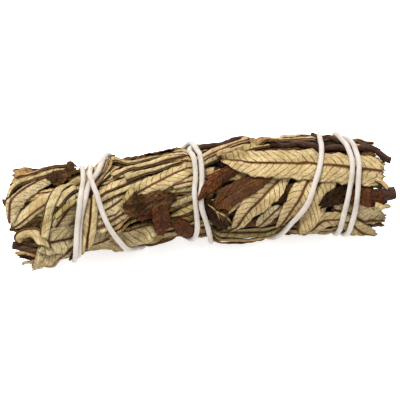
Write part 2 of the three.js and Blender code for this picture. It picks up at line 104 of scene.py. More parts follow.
def floor_reach(around, clear=0.05):
    """How far out a place can go before it is within clear of the floor."""
    down = -np.cos(np.radians(around))
    return np.where(down > LEVEL, (AXIS["height"] - clear) / np.maximum(down, LEVEL), FAR)


def place(along, around, radius):
    """The point in the frame, in metres, of a place at this distance from the axis."""
    turn = np.radians(around)
    return np.stack([along + AXIS["x"],
                     axis_side(along) + AXIS["y"] - radius * np.sin(turn),
                     AXIS["height"] + radius * np.cos(turn)], -1) * MM


def wave(x, seed, wavelength):
    """A smooth random curve between about -1 and 1."""
    dice = np.random.default_rng(seed)
    total = np.zeros_like(np.asarray(x, float))
    for size, quicker in ((0.55, 1), (0.3, 1.9), (0.2, 3.3)):
        rate = 2 * math.pi / wavelength * quicker
        total = total + size * np.sin(rate * x * dice.uniform(0.8, 1.2) + dice.uniform(0, 6.3))
    return total


# ---- The relief of what has been laid so far --------------------------------------------------

START, STEP, TURN = -56.0, 0.25, 1.25
COLUMNS, ROWS = 449, 288
CORE_REACH = 5.6
grid_along = START + STEP * np.arange(COLUMNS)
grid_round = TURN * np.arange(ROWS)
relief = np.full((COLUMNS, ROWS), CORE_REACH)


def relief_at(along, around):
    """The highest of the four cells of the relief about each place."""
    c = np.clip(((along - START) / STEP).astype(int), 0, COLUMNS - 2)
    r = np.floor(around / TURN).astype(int)
    return np.maximum(np.maximum(relief[c, r % ROWS], relief[c + 1, r % ROWS]),
                      np.maximum(relief[c, (r + 1) % ROWS], relief[c + 1, (r + 1) % ROWS]))


def finer(a):
    """The same grid at half the spacing."""
    b = np.empty((2 * a.shape[0] - 1, 2 * a.shape[1] - 1))
    b[::2, ::2] = a
    b[1::2, ::2] = (a[1:] + a[:-1]) / 2
    b[:, 1::2] = (b[:, 2::2] + b[:, :-2:2]) / 2
    return b


def raise_relief(along, around, radius, spacing):
    """Raise the relief to a sheet, which is made fine enough to reach every cell."""
    for _ in range(2 if spacing > 1.6 * STEP else 1):
        along, around, radius = finer(along), finer(around), finer(radius)
    c = np.clip(np.round((along - START) / STEP).astype(int), 0, COLUMNS - 1)
    r = np.round(around / TURN).astype(int) % ROWS
    np.maximum.at(relief, (c, r), radius)


def path_through(way, step):
    """Evenly spaced points, headings and run of a smooth path through [along, round] places."""
    knots = np.array([[a, r * PER_DEGREE] for a, r in way], float)
    if len(knots) == 2:
        knots = np.array([knots[0], knots.mean(0), knots[1]])
    knots = np.concatenate([[2 * knots[0] - knots[1]], knots, [2 * knots[-1] - knots[-2]]])
    gaps = np.sqrt(np.linalg.norm(np.diff(knots, axis=0), axis=1)) + 1e-6
    times = np.concatenate([[0], np.cumsum(gaps)])
    dense = []
    for k in range(1, len(knots) - 2):
        t = np.linspace(times[k], times[k + 1], 40, endpoint=False)[:, None]
        p, tk = knots[k - 1:k + 3], times[k - 1:k + 3]
        a1 = (tk[1] - t) / (tk[1] - tk[0]) * p[0] + (t - tk[0]) / (tk[1] - tk[0]) * p[1]
        a2 = (tk[2] - t) / (tk[2] - tk[1]) * p[1] + (t - tk[1]) / (tk[2] - tk[1]) * p[2]
        a3 = (tk[3] - t) / (tk[3] - tk[2]) * p[2] + (t - tk[2]) / (tk[3] - tk[2]) * p[3]
        b1 = (tk[2] - t) / (tk[2] - tk[0]) * a1 + (t - tk[0]) / (tk[2] - tk[0]) * a2
        b2 = (tk[3] - t) / (tk[3] - tk[1]) * a2 + (t - tk[1]) / (tk[3] - tk[1]) * a3
        dense.append((tk[2] - t) / (tk[2] - tk[1]) * b1 + (t - tk[1]) / (tk[2] - tk[1]) * b2)
    dense = np.concatenate(dense + [knots[-2:-1]])
    run = np.concatenate([[0], np.cumsum(np.linalg.norm(np.diff(dense, axis=0), axis=1))])
    count = max(6, int(math.ceil(run[-1] / step)))
    at = np.linspace(0, run[-1], count + 1)
    points = np.stack([np.interp(at, run, dense[:, 0]), np.interp(at, run, dense[:, 1])], -1)
    heading = np.gradient(points, axis=0)
    heading /= np.linalg.norm(heading, axis=1)[:, None]
    return points, heading, at


# ---- Where the string runs, which presses the leaves in ----------------------------------------

STRING_RADIUS = 0.68
STRING_WAY = [
    [29, -92], [33, -84], [37, -70], [39.9, -46], [40.9, 0], [41, 16], [40.6, 30], [39.8, 53],
    [39.2, 73], [38.2, 96], [37.5, 118], [36.9, 145], [36.8, 180], [37, 230], [37.9, 300],
    [38.6, 330], [39.2, 359], [39.3, 376], [39, 388], [38.2, 403], [37.3, 418], [36.2, 441],
    [35.6, 465], [35.1, 485], [34.8, 540], [34.7, 590], [33.8, 640], [33, 672],
    [32.2, 712], [31.1, 736], [29.3, 757], [27, 781], [24.2, 802], [21, 832], [17.6, 852],
    [15.4, 875], [14.8, 900], [13.6, 928], [9, 960], [3, 995], [-1.6, 1030],
    [-1.6, 1062], [-1.2, 1087], [-1.4, 1104], [-1.9, 1116], [-1.9, 1135], [-1.7, 1156],
    [-1.7, 1175], [-3, 1198], [-5.4, 1222], [-6.6, 1242], [-6.9, 1265], [-8.2, 1292],
    [-13, 1325], [-19, 1353], [-24.2, 1405], [-26.6, 1436], [-28.6, 1447], [-30.2, 1469],
    [-31.4, 1486], [-32.5, 1515], [-33.2, 1552], [-33.5, 1585], [-33.5, 1640], [-32.8, 1670],
    [-31.6, 1705], [-30.3, 1766], [-30.4, 1802], [-31.4, 1829], [-32.8, 1861], [-34.4, 1910],
    [-35.3, 1940], [-35.3, 2005], [-34, 2032], [-30, 2068], [-28.1, 2130],
    [-28.5, 2160], [-27, 2188], [-25.5, 2215], [-23.2, 2237], [-20.1, 2260], [-17.2, 2278],
    [-15.4, 2305], [-14.8, 2340], [-14, 2372], [-10, 2405], [-5, 2437],
    [-0.8, 2468], [0.3, 2509], [0.4, 2536], [0, 2554], [-0.4, 2565], [-0.4, 2580],
    [0.6, 2602], [1.8, 2635], [2.5, 2667], [2.9, 2700], [3.9, 2730], [8, 2754], [16, 2774],
    [24, 2786], [29, 2788],
]
string_path, string_heading, _ = path_through(STRING_WAY, 0.5)
PRESS_DEPTH, PRESS_REACH = 0.75, 1.5


def distance_to_string():
    reach = 14
    beyond = 9.0
    nearest = np.full((COLUMNS, ROWS), beyond)
    for along, up in string_path:
        c = int(round((along - START) / STEP)) + np.arange(-reach, reach + 1)
        r = int(round(up / PER_DEGREE / TURN)) + np.arange(-reach, reach + 1)
        c = np.clip(c, 0, COLUMNS - 1)
        away = np.hypot(*np.meshgrid(grid_along[c] - along, r * TURN * PER_DEGREE - up,
                                     indexing="ij"))
        spot = np.ix_(c, r % ROWS)
        nearest[spot] = np.minimum(nearest[spot], away)
    return nearest


string_distance = distance_to_string()


def near_string(along, around):
    c = np.clip((along - START) / STEP, 0, COLUMNS - 1.01)
    r = np.mod(around / TURN, ROWS)
    c0, r0 = c.astype(int), r.astype(int) % ROWS
    fc, fr = c - c0, r - np.floor(r)
    r1 = (r0 + 1) % ROWS
    return ((1 - fc) * ((1 - fr) * string_distance[c0, r0] + fr * string_distance[c0, r1])
            + fc * ((1 - fr) * string_distance[c0 + 1, r0] + fr * string_distance[c0 + 1, r1]))


def pressed_in(along, around):
    """How deep the string presses what lies under it."""
    return PRESS_DEPTH * np.exp(-(near_string(along, around) / PRESS_REACH) ** 2)


# ---- Meshes ----------------------------------------------------------------------------------

def grid_object(name, cells):
    """A flat grid, with the index of each of its vertices along and across."""
    bpy.ops.object.select_all(action="DESELECT")
    bpy.ops.mesh.primitive_grid_add(x_subdivisions=cells[0], y_subdivisions=cells[1], size=2)
    made = bpy.context.object
    made.name = name
    made.data.name = name
    at = np.empty(len(made.data.vertices) * 3)
    made.data.vertices.foreach_get("co", at)
    at = at.reshape(-1, 3)
    i = np.round((at[:, 0] + 1) / 2 * cells[0]).astype(int)
    j = np.round((1 - at[:, 1]) / 2 * cells[1]).astype(int)
    return made, i, j


def set_uv(made, name, values):
    layer = made.data.uv_layers.new(name=name)
    corner = np.empty(len(made.data.loops), int)
    made.data.loops.foreach_get("vertex_index", corner)
    layer.data.foreach_set("uv", values[corner].astype(np.float32).ravel())


def finished(made, material, stands_for=()):
    made.data.materials.append(material)
    bpy.ops.object.shade_smooth()
    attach(made, "root")
    if stands_for:
        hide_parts(*stands_for)
    return made


# ---- Materials -------------------------------------------------------------------------------

class Nodes:
    """Builds a material's nodes with short calls."""

    def __init__(self, name):
        self.material = bpy.data.materials.new(name)
        self.material.use_nodes = True
        self.tree = self.material.node_tree
        self.shader = self.tree.nodes["Principled BSDF"]

    def put(self, socket, value):
        if isinstance(value, bpy.types.NodeSocket):
            self.tree.links.new(value, socket)
        elif isinstance(value, (tuple, list)) and socket.type == "RGBA":
            socket.default_value = (*value[:3], 1)
        else:
            socket.default_value = value

    def add(self, kind, settings=(), **inputs):
        node = self.tree.nodes.new(kind)
        for key, value in dict(settings).items():
            setattr(node, key, value)
        for key, value in inputs.items():
            self.put(node.inputs[key.replace("_", " ")], value)
        return node

    def math(self, operation, a, b=0.0, c=0.0):
        node = self.add("ShaderNodeMath", {"operation": operation})
        for socket, value in zip(node.inputs, (a, b, c)):
            self.put(socket, value)
        return node.outputs[0]

    def between(self, value, low, high, to_low=0.0, to_high=1.0):
        node = self.add("ShaderNodeMapRange", {"interpolation_type": "SMOOTHSTEP"})
        for key, given in (("Value", value), ("From Min", low), ("From Max", high),
                           ("To Min", to_low), ("To Max", to_high)):
            self.put(node.inputs[key], given)
        return node.outputs["Result"]

    def mix(self, share, a, b, blend="MIX"):
        node = self.add("ShaderNodeMix", {"data_type": "RGBA", "blend_type": blend})
        self.put(node.inputs[0], share)
        self.put(node.inputs[6], a)
        self.put(node.inputs[7], b)
        return node.outputs[2]

    def uv(self, name):
        node = self.add("ShaderNodeUVMap", {"uv_map": name})
        split = self.add("ShaderNodeSeparateXYZ", Vector=node.outputs[0])
        return split.outputs[0], split.outputs[1]

    def vector(self, x, y, z=0.0):
        return self.add("ShaderNodeCombineXYZ", X=x, Y=y, Z=z).outputs[0]

    def noise(self, vector, scale, detail=3.0, roughness=0.55):
        return self.add("ShaderNodeTexNoise", Vector=vector, Scale=scale, Detail=detail,
                        Roughness=roughness).outputs[0]

    def edges(self, vector, scale):
        node = self.add("ShaderNodeTexVoronoi", {"feature": "DISTANCE_TO_EDGE"},
                        Vector=vector, Scale=scale)
        return node.outputs["Distance"]

    def finish(self, color, roughness, height, depth, **constants):
        self.put(self.shader.inputs["Base Color"], color)
        self.put(self.shader.inputs["Roughness"], roughness)
        bump = self.add("ShaderNodeBump", Strength=1.0, Distance=depth, Height=height)
        self.put(self.shader.inputs["Normal"], bump.outputs[0])
        for key, value in constants.items():
            self.put(self.shader.inputs[key.replace("_", " ")], value)
        return self.material


LIGHT_GAIN = 1.85
WARMTH = (1.01, 0.98, 0.9)


def shade(red, green, blue):
    """A material colour that shows, fully lit, as about this screen colour, a little warmer."""
    return tuple(((c / 255 + 0.055) / 1.055) ** 2.4 / LIGHT_GAIN * warm
                 for c, warm in zip((red, green, blue), WARMTH))


RIB_DARK = shade(78, 48, 28)
# The colour of the painted shade on the bundle's low side.
PAINTED_LOW_SHADE = shade(84, 62, 38)
# Painted shade on the low side: between these heights, in metres, a leaf's colour goes from half
# the low side's shade colour to its own, so leaves darken towards the floor.
PAINTED_LOW_SHADE_FROM, PAINTED_LOW_SHADE_TO = 0.006, 0.018


def leaf_material(name, pale, tone, line, rib, net=0.22, lines=0.85, rough=0.72, coat=0.0,
                  depth=0.00012, streak=0.25):
    """A leaf face with its midrib, its arching side veins and the fine net between them.

    pale and tone are the patches of the blade, line is the veins and rib the midrib. net, lines
    and streak are how strong the net, the side veins and the long fibres show.
    """
    n = Nodes(name)
    phase, aside = n.uv("veins")
    down, across = n.uv("blade")
    rim, seed = n.uv("rim")
    spot = n.vector(n.math("MULTIPLY_ADD", down, 0.1, n.math("MULTIPLY", seed, 37.0)),
                    n.math("MULTIPLY", across, 0.1), n.math("MULTIPLY", seed, 11.0))
    fibre = n.vector(n.math("MULTIPLY_ADD", down, 0.05, n.math("MULTIPLY", seed, 91.0)),
                     n.math("MULTIPLY", across, 0.5), seed)
    # Patches of the two blade colours, and long fibres.
    patches = n.noise(spot, 2.6, 4.0)
    color = n.mix(n.between(patches, 0.32, 0.66), tone, pale)
    fibres = n.noise(fibre, 4.0, 3.0)
    color = n.mix(n.math("MULTIPLY", n.between(fibres, 0.42, 0.72), streak), color, line)
    # Side veins, one at each half step of the phase, and the net of cells between them.
    wobble = n.noise(spot, 6.0, 2.0)
    bend = n.math("MULTIPLY_ADD", wobble, 0.12, phase)
    strand = n.math("ABSOLUTE", n.math("SUBTRACT", n.math("FRACT", bend), 0.5))
    strength = n.between(n.noise(spot, 7.0, 1.0), 0.3, 0.55, 0.45, 1.0)
    vein = n.math("MULTIPLY", n.between(strand, 0.03, 0.095, 1.0, 0.0), strength)
    cells = n.edges(n.vector(n.math("MULTIPLY_ADD", wobble, 0.5, down),
                             n.math("MULTIPLY_ADD", wobble, 0.5, across), seed), 1.25)
    mesh = n.between(cells, 0.02, 0.13, 1.0, 0.0)
    color = n.mix(n.math("MULTIPLY", mesh, net), color, line)
    color = n.mix(n.math("MULTIPLY", vein, lines), color, line)
    # Dark specks, a dark margin, painted shade in the groove beside the midrib, and the midrib.
    specks = n.between(n.noise(spot, 30.0, 2.0), 0.66, 0.72)
    color = n.mix(n.math("MULTIPLY", specks, 0.55), color, line)
    margin = n.between(n.math("MULTIPLY_ADD", wobble, 0.08, rim), 0.95, 1.02)
    color = n.mix(n.math("MULTIPLY", margin, 0.6), color, line)
    off_rib = n.math("ABSOLUTE", aside)
    # Painted shade: the blade darkens towards the line colour beside the midrib, in its groove.
    painted_groove_shade = n.between(off_rib, 0.3, 0.62, 0.6, 0.0)
    color = n.mix(painted_groove_shade, color, line)
    on_rib = n.between(off_rib, 0.2, 0.34, 1.0, 0.0)
    rib_color = n.mix(n.between(fibres, 0.35, 0.65), RIB_DARK, rib)
    color = n.mix(on_rib, color, rib_color)
    # Painted shade: the leaf is darker the nearer it lies to the floor.
    at = n.add("ShaderNodeTexCoord").outputs["Object"]
    above = n.add("ShaderNodeSeparateXYZ", Vector=at).outputs["Z"]
    painted_low_shade = n.between(above, PAINTED_LOW_SHADE_FROM, PAINTED_LOW_SHADE_TO, 0.5, 0.0)
    color = n.mix(painted_low_shade, color, PAINTED_LOW_SHADE)
    # Veins and net lie in the surface, and fibres and felt stand out of it.
    felt = n.noise(spot, 60.0, 2.0)
    height = n.math("MULTIPLY_ADD", vein, -1.0, n.math("MULTIPLY", felt, 0.5))
    height = n.math("MULTIPLY_ADD", mesh, -0.6, height)
    height = n.math("MULTIPLY_ADD", fibres, 0.5, height)
    return n.finish(color, n.between(patches, 0.3, 0.7, rough, rough + 0.12), height, depth,
                    Coat_Weight=coat, Coat_Roughness=0.4, Specular_IOR_Level=0.04)


CREAM = [
    leaf_material("leaf_cream", shade(238, 214, 166), shade(208, 183, 132), shade(88, 60, 34),
                  shade(118, 74, 44)),
    leaf_material("leaf_cream_green", shade(231, 211, 164), shade(196, 174, 124),
                  shade(82, 60, 34), shade(108, 68, 40), net=0.3),
    leaf_material("leaf_cream_warm", shade(240, 212, 166), shade(212, 178, 130),
                  shade(94, 60, 36), shade(120, 72, 44)),
]
FOLD = [
    leaf_material("fold_cream", shade(238, 216, 168), shade(206, 180, 128), shade(84, 56, 32),
                  shade(100, 62, 38), net=0.12, lines=0.3, streak=0.4),
    leaf_material("fold_cream_green", shade(231, 211, 164), shade(194, 172, 122),
                  shade(80, 58, 32), shade(96, 60, 36), net=0.15, lines=0.35, streak=0.45),
    leaf_material("fold_cream_warm", shade(240, 212, 168), shade(206, 170, 126),
                  shade(90, 56, 36), shade(104, 62, 40), net=0.1, lines=0.25, streak=0.45),
]
NETTED = leaf_material("leaf_netted", shade(234, 214, 172), shade(202, 180, 136),
                       shade(78, 54, 32), shade(106, 66, 40), net=0.4, lines=0.65)
GREY = leaf_material("leaf_grey", shade(226, 207, 166), shade(190, 170, 128), shade(76, 54, 32),
                     shade(104, 68, 42), net=0.35, lines=0.7)
OLIVE = leaf_material("leaf_olive", shade(214, 194, 138), shade(170, 148, 92), shade(80, 56, 30),
                      shade(98, 62, 36), net=0.2, streak=0.45)
TAN = leaf_material("leaf_tan", shade(232, 202, 152), shade(186, 148, 102), shade(92, 56, 34),
                    shade(98, 60, 38), net=0.1, lines=0.3, streak=0.55)
PACKED = leaf_material("leaf_packed", shade(200, 162, 110), shade(150, 112, 68),
                       shade(66, 42, 24), shade(84, 52, 30), streak=0.5)
BROWN = leaf_material("leaf_brown", shade(122, 86, 54), shade(76, 50, 30), shade(40, 25, 14),
                      shade(88, 56, 34), net=0.3, rough=0.6, streak=0.5, depth=0.0002)
DEEP = leaf_material("leaf_deep_brown", shade(74, 48, 28), shade(44, 28, 17), shade(24, 15, 9),
                     shade(60, 38, 24), net=0.3, rough=0.6, streak=0.5, depth=0.0002)
DARK = leaf_material("leaf_dark_upper", shade(88, 56, 32), shade(54, 33, 20), shade(142, 94, 50),
                     shade(128, 76, 38), net=0.45, lines=0.5, rough=0.5, coat=0.04, streak=0.12,
                     depth=0.0003)
RED = leaf_material("leaf_dark_red", shade(136, 76, 38), shade(82, 46, 24), shade(50, 27, 14),
                    shade(120, 64, 34), net=0.45, lines=0.5, rough=0.5, coat=0.04, streak=0.35,
                    depth=0.0003)
GOLD = leaf_material("leaf_dark_gold", shade(122, 84, 44), shade(66, 43, 26),
                       shade(38, 23, 13), shade(84, 50, 28), net=0.4, lines=0.4, rough=0.5,
                       coat=0.04, streak=0.35, depth=0.0003)


def bark_material(name, pale, tone, crack):
    """Ridged bark, with pale wood and a paler pith on the cut ends."""
    n = Nodes(name)
    cap = n.uv("rim")[0]
    at = n.add("ShaderNodeTexCoord").outputs["Object"]
    spot = n.add("ShaderNodeMapping", Vector=at, Scale=(300, 1500, 1500)).outputs[0]
    grain = n.noise(spot, 1.0, 5.0, 0.65)
    color = n.mix(n.between(grain, 0.35, 0.68), tone, pale)
    ridges = n.noise(spot, 2.4, 4.0, 0.7)
    color = n.mix(n.between(ridges, 0.52, 0.66, 0.0, 0.8), color, crack)
    wood = n.mix(n.noise(at, 1800.0, 3.0), shade(196, 164, 116), shade(140, 106, 70))
    pith = n.mix(n.noise(at, 2600.0, 2.0), shade(226, 208, 170), shade(176, 148, 110))
    color = n.mix(n.between(cap, 0.2, 0.35), color, wood)
    color = n.mix(n.between(cap, 0.7, 0.85), color, pith)
    height = n.math("ADD", grain, n.math("MULTIPLY", ridges, 0.8))
    return n.finish(color, 0.75, height, 0.0003, Specular_IOR_Level=0.12)


BARK = bark_material("stem_bark", shade(112, 80, 54), shade(70, 46, 31), shade(36, 22, 14))
BARK_DARK = bark_material("stem_bark_dark", shade(94, 62, 45), shade(56, 36, 27),
                          shade(28, 17, 12))


def cotton_material():
    """Soft undyed cotton, faintly soiled, with painted shade in the hollows between its plies."""
    n = Nodes("cotton")
    down, turn = n.uv("blade")
    ply = n.uv("rim")[0]
    fibre = n.vector(n.math("MULTIPLY_ADD", turn, 1.6, n.math("MULTIPLY", down, 0.45)),
                     n.math("MULTIPLY", turn, 8.0), 0.0)
    at = n.add("ShaderNodeTexCoord").outputs["Object"]
    threads = n.noise(fibre, 3.0, 4.0, 0.65)
    fuzz = n.noise(at, 3500.0, 3.0, 0.7)
    soil = n.noise(at, 220.0, 3.0)
    color = n.mix(n.between(soil, 0.4, 0.72), shade(231, 223, 219), shade(215, 204, 196))
    color = n.mix(n.between(threads, 0.45, 0.72, 0.0, 0.35), color, shade(184, 168, 158))
    # Painted shade: the hollows between the plies are darker.
    color = n.mix(n.between(ply, 0.0, 0.45, 0.28, 0.0), color, shade(174, 156, 144))
    height = n.math("MULTIPLY_ADD", fuzz, 0.8, threads)
    return n.finish(color, 0.95, height, 0.00016, Sheen_Weight=0.2, Sheen_Roughness=0.5,
                    Specular_IOR_Level=0.2)


COTTON = cotton_material()

# ---- Leaves ----------------------------------------------------------------------------------

# How each end of a blade is shaped: the share of the length that tapers and the width left.
ENDS = {"tip": (0.5, 0.1), "base": (0.35, 0.35), "cut": (0.06, 0.8), "round": (0.3, 0.1),
        "point": (0.3, 0.08)}


def width_share(t, ends):
    """The share of a blade's full width at each share t of its length."""
    def side(kind, u):
        taper, left = ENDS[kind]
        return left + (1 - left) * np.sin(math.pi / 2 * np.minimum(1, u / taper)) ** 0.9
    return np.minimum(side(ends[0], t), side(ends[1], 1 - t))


def blurred(a, axis):
    """A grid smoothed by one step along an axis."""
    pad = np.concatenate([a.take([0], axis), a, a.take([-1], axis)], axis)
    n = a.shape[axis]
    low, mid, high = (pad.take(range(k, k + n), axis) for k in range(3))
    return (low + 2 * mid + high) / 4


def spread_max(a, axis, reach):
    """Each cell raised to the highest within reach along an axis."""
    made = a
    for k in range(1, reach + 1):
        for way in (-k, k):
            index = np.clip(np.arange(a.shape[axis]) + way, 0, a.shape[axis] - 1)
            made = np.maximum(made, a.take(index, axis))
    return made


BRIDGED_ACROSS = 0.7


def settle(base, spacing, stiff):
    """The height of a sheet that bridges hollows up to stiff long and stays clear of everything."""
    reach = max(1, int(round(stiff / spacing)))
    across = max(1, int(round(BRIDGED_ACROSS / spacing)))
    h = spread_max(spread_max(base, 0, reach), 1, across)
    h = -spread_max(spread_max(-h, 0, reach), 1, across)
    for _ in range(3):
        for _ in range(4):
            h = blurred(blurred(h, 0), 1)
        h = h + blurred(blurred(spread_max(np.maximum(0, base - h), 0, 2), 0), 1)
    return h


LEAF_CLEAR = 0.1
QUILT = 0.1
RIB_SPREAD = 0.27
STRING_HUMP, STRING_HUMP_REACH = 1.5, 1.1
STRING_KEPT_OPEN = 2.2
# A blade this wide, in mm, has a full midrib and full jags at a cut end.
FULL_RIB_WIDTH, FULL_JAG_WIDTH = 5, 4
leaf_count = 0


def lay_leaf(name, width, ends, way, material=None, slot="leaf_underside", rib=0.0, dome=0.5,
             rib_height=0.42, vein_every=2.0, edges=(0.0, 0.0), ripple=0.25, thick=0.22,
             spacing=0.3, stiff=2.4, stands_for=True, ragged=0.06, limit=floor_reach,
             over_string=False, crumple=0.0):
    """One leaf blade laid over all that is on the bundle.

    rib is where the midrib runs, from -1 at one margin to 1 at the other. dome is how far the
    halves puff out, and edges are how far the two margins curl up. limit gives how far out the
    blade may reach at each angle.
    """
    global leaf_count
    leaf_count += 1
    seed = leaf_count
    points, heading, run = path_through(way, spacing)
    cells = len(points) - 1, max(4, int(math.ceil(width / spacing)))
    t = np.linspace(0, 1, cells[0] + 1)[:, None]
    w = np.linspace(-1, 1, cells[1] + 1)[None, :]
    half = width / 2 * width_share(t, ends)
    uneven = 1 + ragged * wave(run[:, None], seed, 6) + ragged * 0.8 * np.sign(w) * wave(
        run[:, None], seed + 500, 2.6)
    offset = w * half * uneven
    cut = [e in ("cut", "base") for e in ends]
    jag = 0.5 * wave(w * 5, seed + 50, 3.5) + 0.35 * wave(w * 5, seed + 51, 1.2)
    jag = jag * min(1, width / FULL_JAG_WIDTH)
    slip = cut[0] * jag * np.clip(1 - t * 8, 0, 1) + cut[1] * jag * np.clip(t * 8 - 7, 0, 1)
    along = points[:, :1] - heading[:, 1:] * offset + heading[:, :1] * slip
    up = points[:, 1:] + heading[:, :1] * offset + heading[:, 1:] * slip
    around = up / PER_DEGREE
    base = relief_at(along, around) + LEAF_CLEAR
    h = settle(base, spacing, stiff)

    # The two halves puff out on either side of the midrib.
    from_rib = (w - rib) * half
    side = np.sign(from_rib) + (from_rib == 0)
    reach = np.where(side < 0, 1 + rib, 1 - rib) * half
    q = np.clip(np.abs(from_rib) / np.maximum(reach, 0.05), 0, 1)
    puff = dome * np.minimum(1, reach / 1.6)
    lobe = puff * np.sin(math.pi * q ** 0.75) ** 0.7 * (1 - 0.25 * q)
    # Side veins leave the midrib every vein_every mm, and arch towards the tip.
    tipward = -1 if ends[0] in ("tip", "round", "point") and ends[1] != "tip" else 1
    down = run[:, None] * tipward + 100 + 3.1 * seed
    distance = np.abs(from_rib)
    phase = (down - 0.5 * distance - 0.12 * distance ** 2) / vein_every
    phase = phase + 0.2 * wave(down, seed + 9, 7) + np.where(side < 0, 0.37, 0)
    # The blade is quilted between its veins, and its margins curl, ripple and crumple.
    quilt = QUILT * np.abs(np.sin(math.pi * (phase - 0.5))) ** 0.6 * np.sin(math.pi * q) ** 0.5
    bulk = np.minimum(1, half / 0.9)
    rib_size = min(1, width / FULL_RIB_WIDTH)
    ridge = rib_height * np.exp(-(from_rib / RIB_SPREAD / rib_size) ** 2) * bulk
    curl = np.where(w < 0, edges[0], edges[1]) * np.clip((np.abs(w) - 0.55) / 0.45, 0, 1) ** 2
    sway = ripple * w ** 2 * wave(run[:, None], seed + 3, 7) * np.where(w < 0, 1, -1)
    rough = crumple * (wave(run[:, None] + 2.1 * w * half, seed + 7, 3.2)
                       + wave(1.7 * run[:, None] - 3 * w * half, seed + 8, 2.3))
    top = h + thick + lobe + quilt + ridge + curl + np.maximum(sway, -0.1) + rough
    top = np.maximum(top, base + thick * 0.5)
    # The string presses the blade in, unless the blade's second part lies over the string.
    shown = top - pressed_in(along, around)
    free = True
    if over_string:
        away = near_string(along, around)
        shown = shown + STRING_HUMP * np.exp(-(away / STRING_HUMP_REACH) ** 4) * (t > 0.45)
        free = away > STRING_KEPT_OPEN
    shown = np.minimum(shown, limit(around))
    raise_relief(along, around, np.where(free, top, 0), spacing)

    made, i, j = grid_object(name, cells)
    made.data.vertices.foreach_set("co", place(along, around, shown)[i, j].ravel())
    for layer, u, v in (("veins", phase, from_rib / rib_size), ("blade", down, offset),
                        ("rim", np.abs(w), np.mod(seed * 0.618, 1))):
        uv = [np.broadcast_to(value, along.shape) for value in (u, v)]
        set_uv(made, layer, np.stack(uv, -1)[i, j])
    made.data.uv_layers.remove(made.data.uv_layers["UVMap"])
    made.data.update()
    solid = made.modifiers.new("thickness", "SOLIDIFY")
    solid.thickness = thick * MM
    solid.offset = -1
    solid.use_rim = True
    bpy.ops.object.modifier_apply(modifier=solid.name)
    return finished(made, material or CREAM[seed % 3], [name] if stands_for else ())


# ---- Stems and other round pieces --------------------------------------------------------------

# The rings that close an end, from its middle out: their share of the radius, how much they are
# wood and pith and not bark, and how far past the end they stand in mm.
CAP = {"radius": [0, 0.5, 0.93], "wood": [1, 0.8, 0.3], "out": [0.1, 0.12, 0.12]}


def capped(key, middle, sign=1):
    """One value for each ring of a tube, with those of the caps at both ends."""
    return np.concatenate([CAP[key], middle, sign * np.array(CAP[key][::-1])])


def tube(name, points, radius, sides, material, seed, stands_for=(), ply=None):
    """A round closed body along points, in metres.

    radius is one value in mm for each point and each side, and ply is how far each point is
    from the hollows between the plies, from 0 to 1.
    """
    count = len(points)
    order = np.concatenate([[0, 0, 0], np.arange(count), [count - 1] * 3])
    scale = capped("radius", np.ones(count))
    cap = capped("wood", np.zeros(count))
    nudge = capped("out", np.zeros(count), -1)
    forward = np.gradient(points, axis=0)
    forward /= np.linalg.norm(forward, axis=1)[:, None]
    side = np.cross(forward[0], (0, 0.3, 1))
    side /= np.linalg.norm(side)
    frames = []
    for f in forward:
        side = side - f * side.dot(f)
        side = side / np.linalg.norm(side)
        frames.append((side, np.cross(f, side)))
    turn = np.linspace(0, 2 * math.pi, sides + 1)
    radius = np.broadcast_to(radius, (count, sides + 1)).copy()
    radius[:, -1] = radius[:, 0]
    one = np.array([a for a, b in frames])[:, None]
    two = np.array([b for a, b in frames])[:, None]
    ring = one * np.cos(turn)[None, :, None] + two * np.sin(turn)[None, :, None]
    at = (points[order][:, None] - forward[order][:, None] * nudge[:, None, None] * MM
          + ring[order] * (radius[order] * scale[:, None])[..., None] * MM)
    at[:, -1] = at[:, 0]
    run = np.concatenate([[0], np.cumsum(np.linalg.norm(np.diff(points, axis=0), axis=1))]) / MM
    made, i, j = grid_object(name, (len(order) - 1, sides))
    made.data.vertices.foreach_set("co", at[i, j].ravel())
    first = cap[:, None] if ply is None else ply[order]
    for layer, u, v in (("blade", run[order][:, None], turn / (2 * math.pi)),
                        ("rim", first, seed * 0.37)):
        uv = [np.broadcast_to(value, at.shape[:2]) for value in (u, v)]
        set_uv(made, layer, np.stack(uv, -1)[i, j])
    made.data.uv_layers.remove(made.data.uv_layers["UVMap"])
    made.data.update()
    bpy.ops.object.mode_set(mode="EDIT")
    bpy.ops.mesh.select_all(action="SELECT")
    bpy.ops.mesh.remove_doubles(threshold=1e-7)
    bpy.ops.mesh.normals_make_consistent(inside=False)
    bpy.ops.object.mode_set(mode="OBJECT")
    finished(made, material, stands_for)


def stem_radius(count, sides, radius, seed, run):
    """A stem's radius with its swellings, knobs and shrunken ridges."""
    turn = np.linspace(0, 2 * math.pi, sides + 1)[None, :]
    swell = 1 + 0.16 * wave(run, seed, 9)[:, None]
    knobs = 0.3 * np.clip(wave(run, seed + 4, 6) - 0.45, 0, 1)[:, None]
    ridges = 0.08 * np.sin(5 * turn + 0.4 * wave(run, seed + 5, 12)[:, None])
    ridges = ridges + 0.06 * np.sin(3 * turn + seed)
    return radius * (swell + knobs + ridges)


STEM_SPACING = 0.45
STEM_SIDES = 14


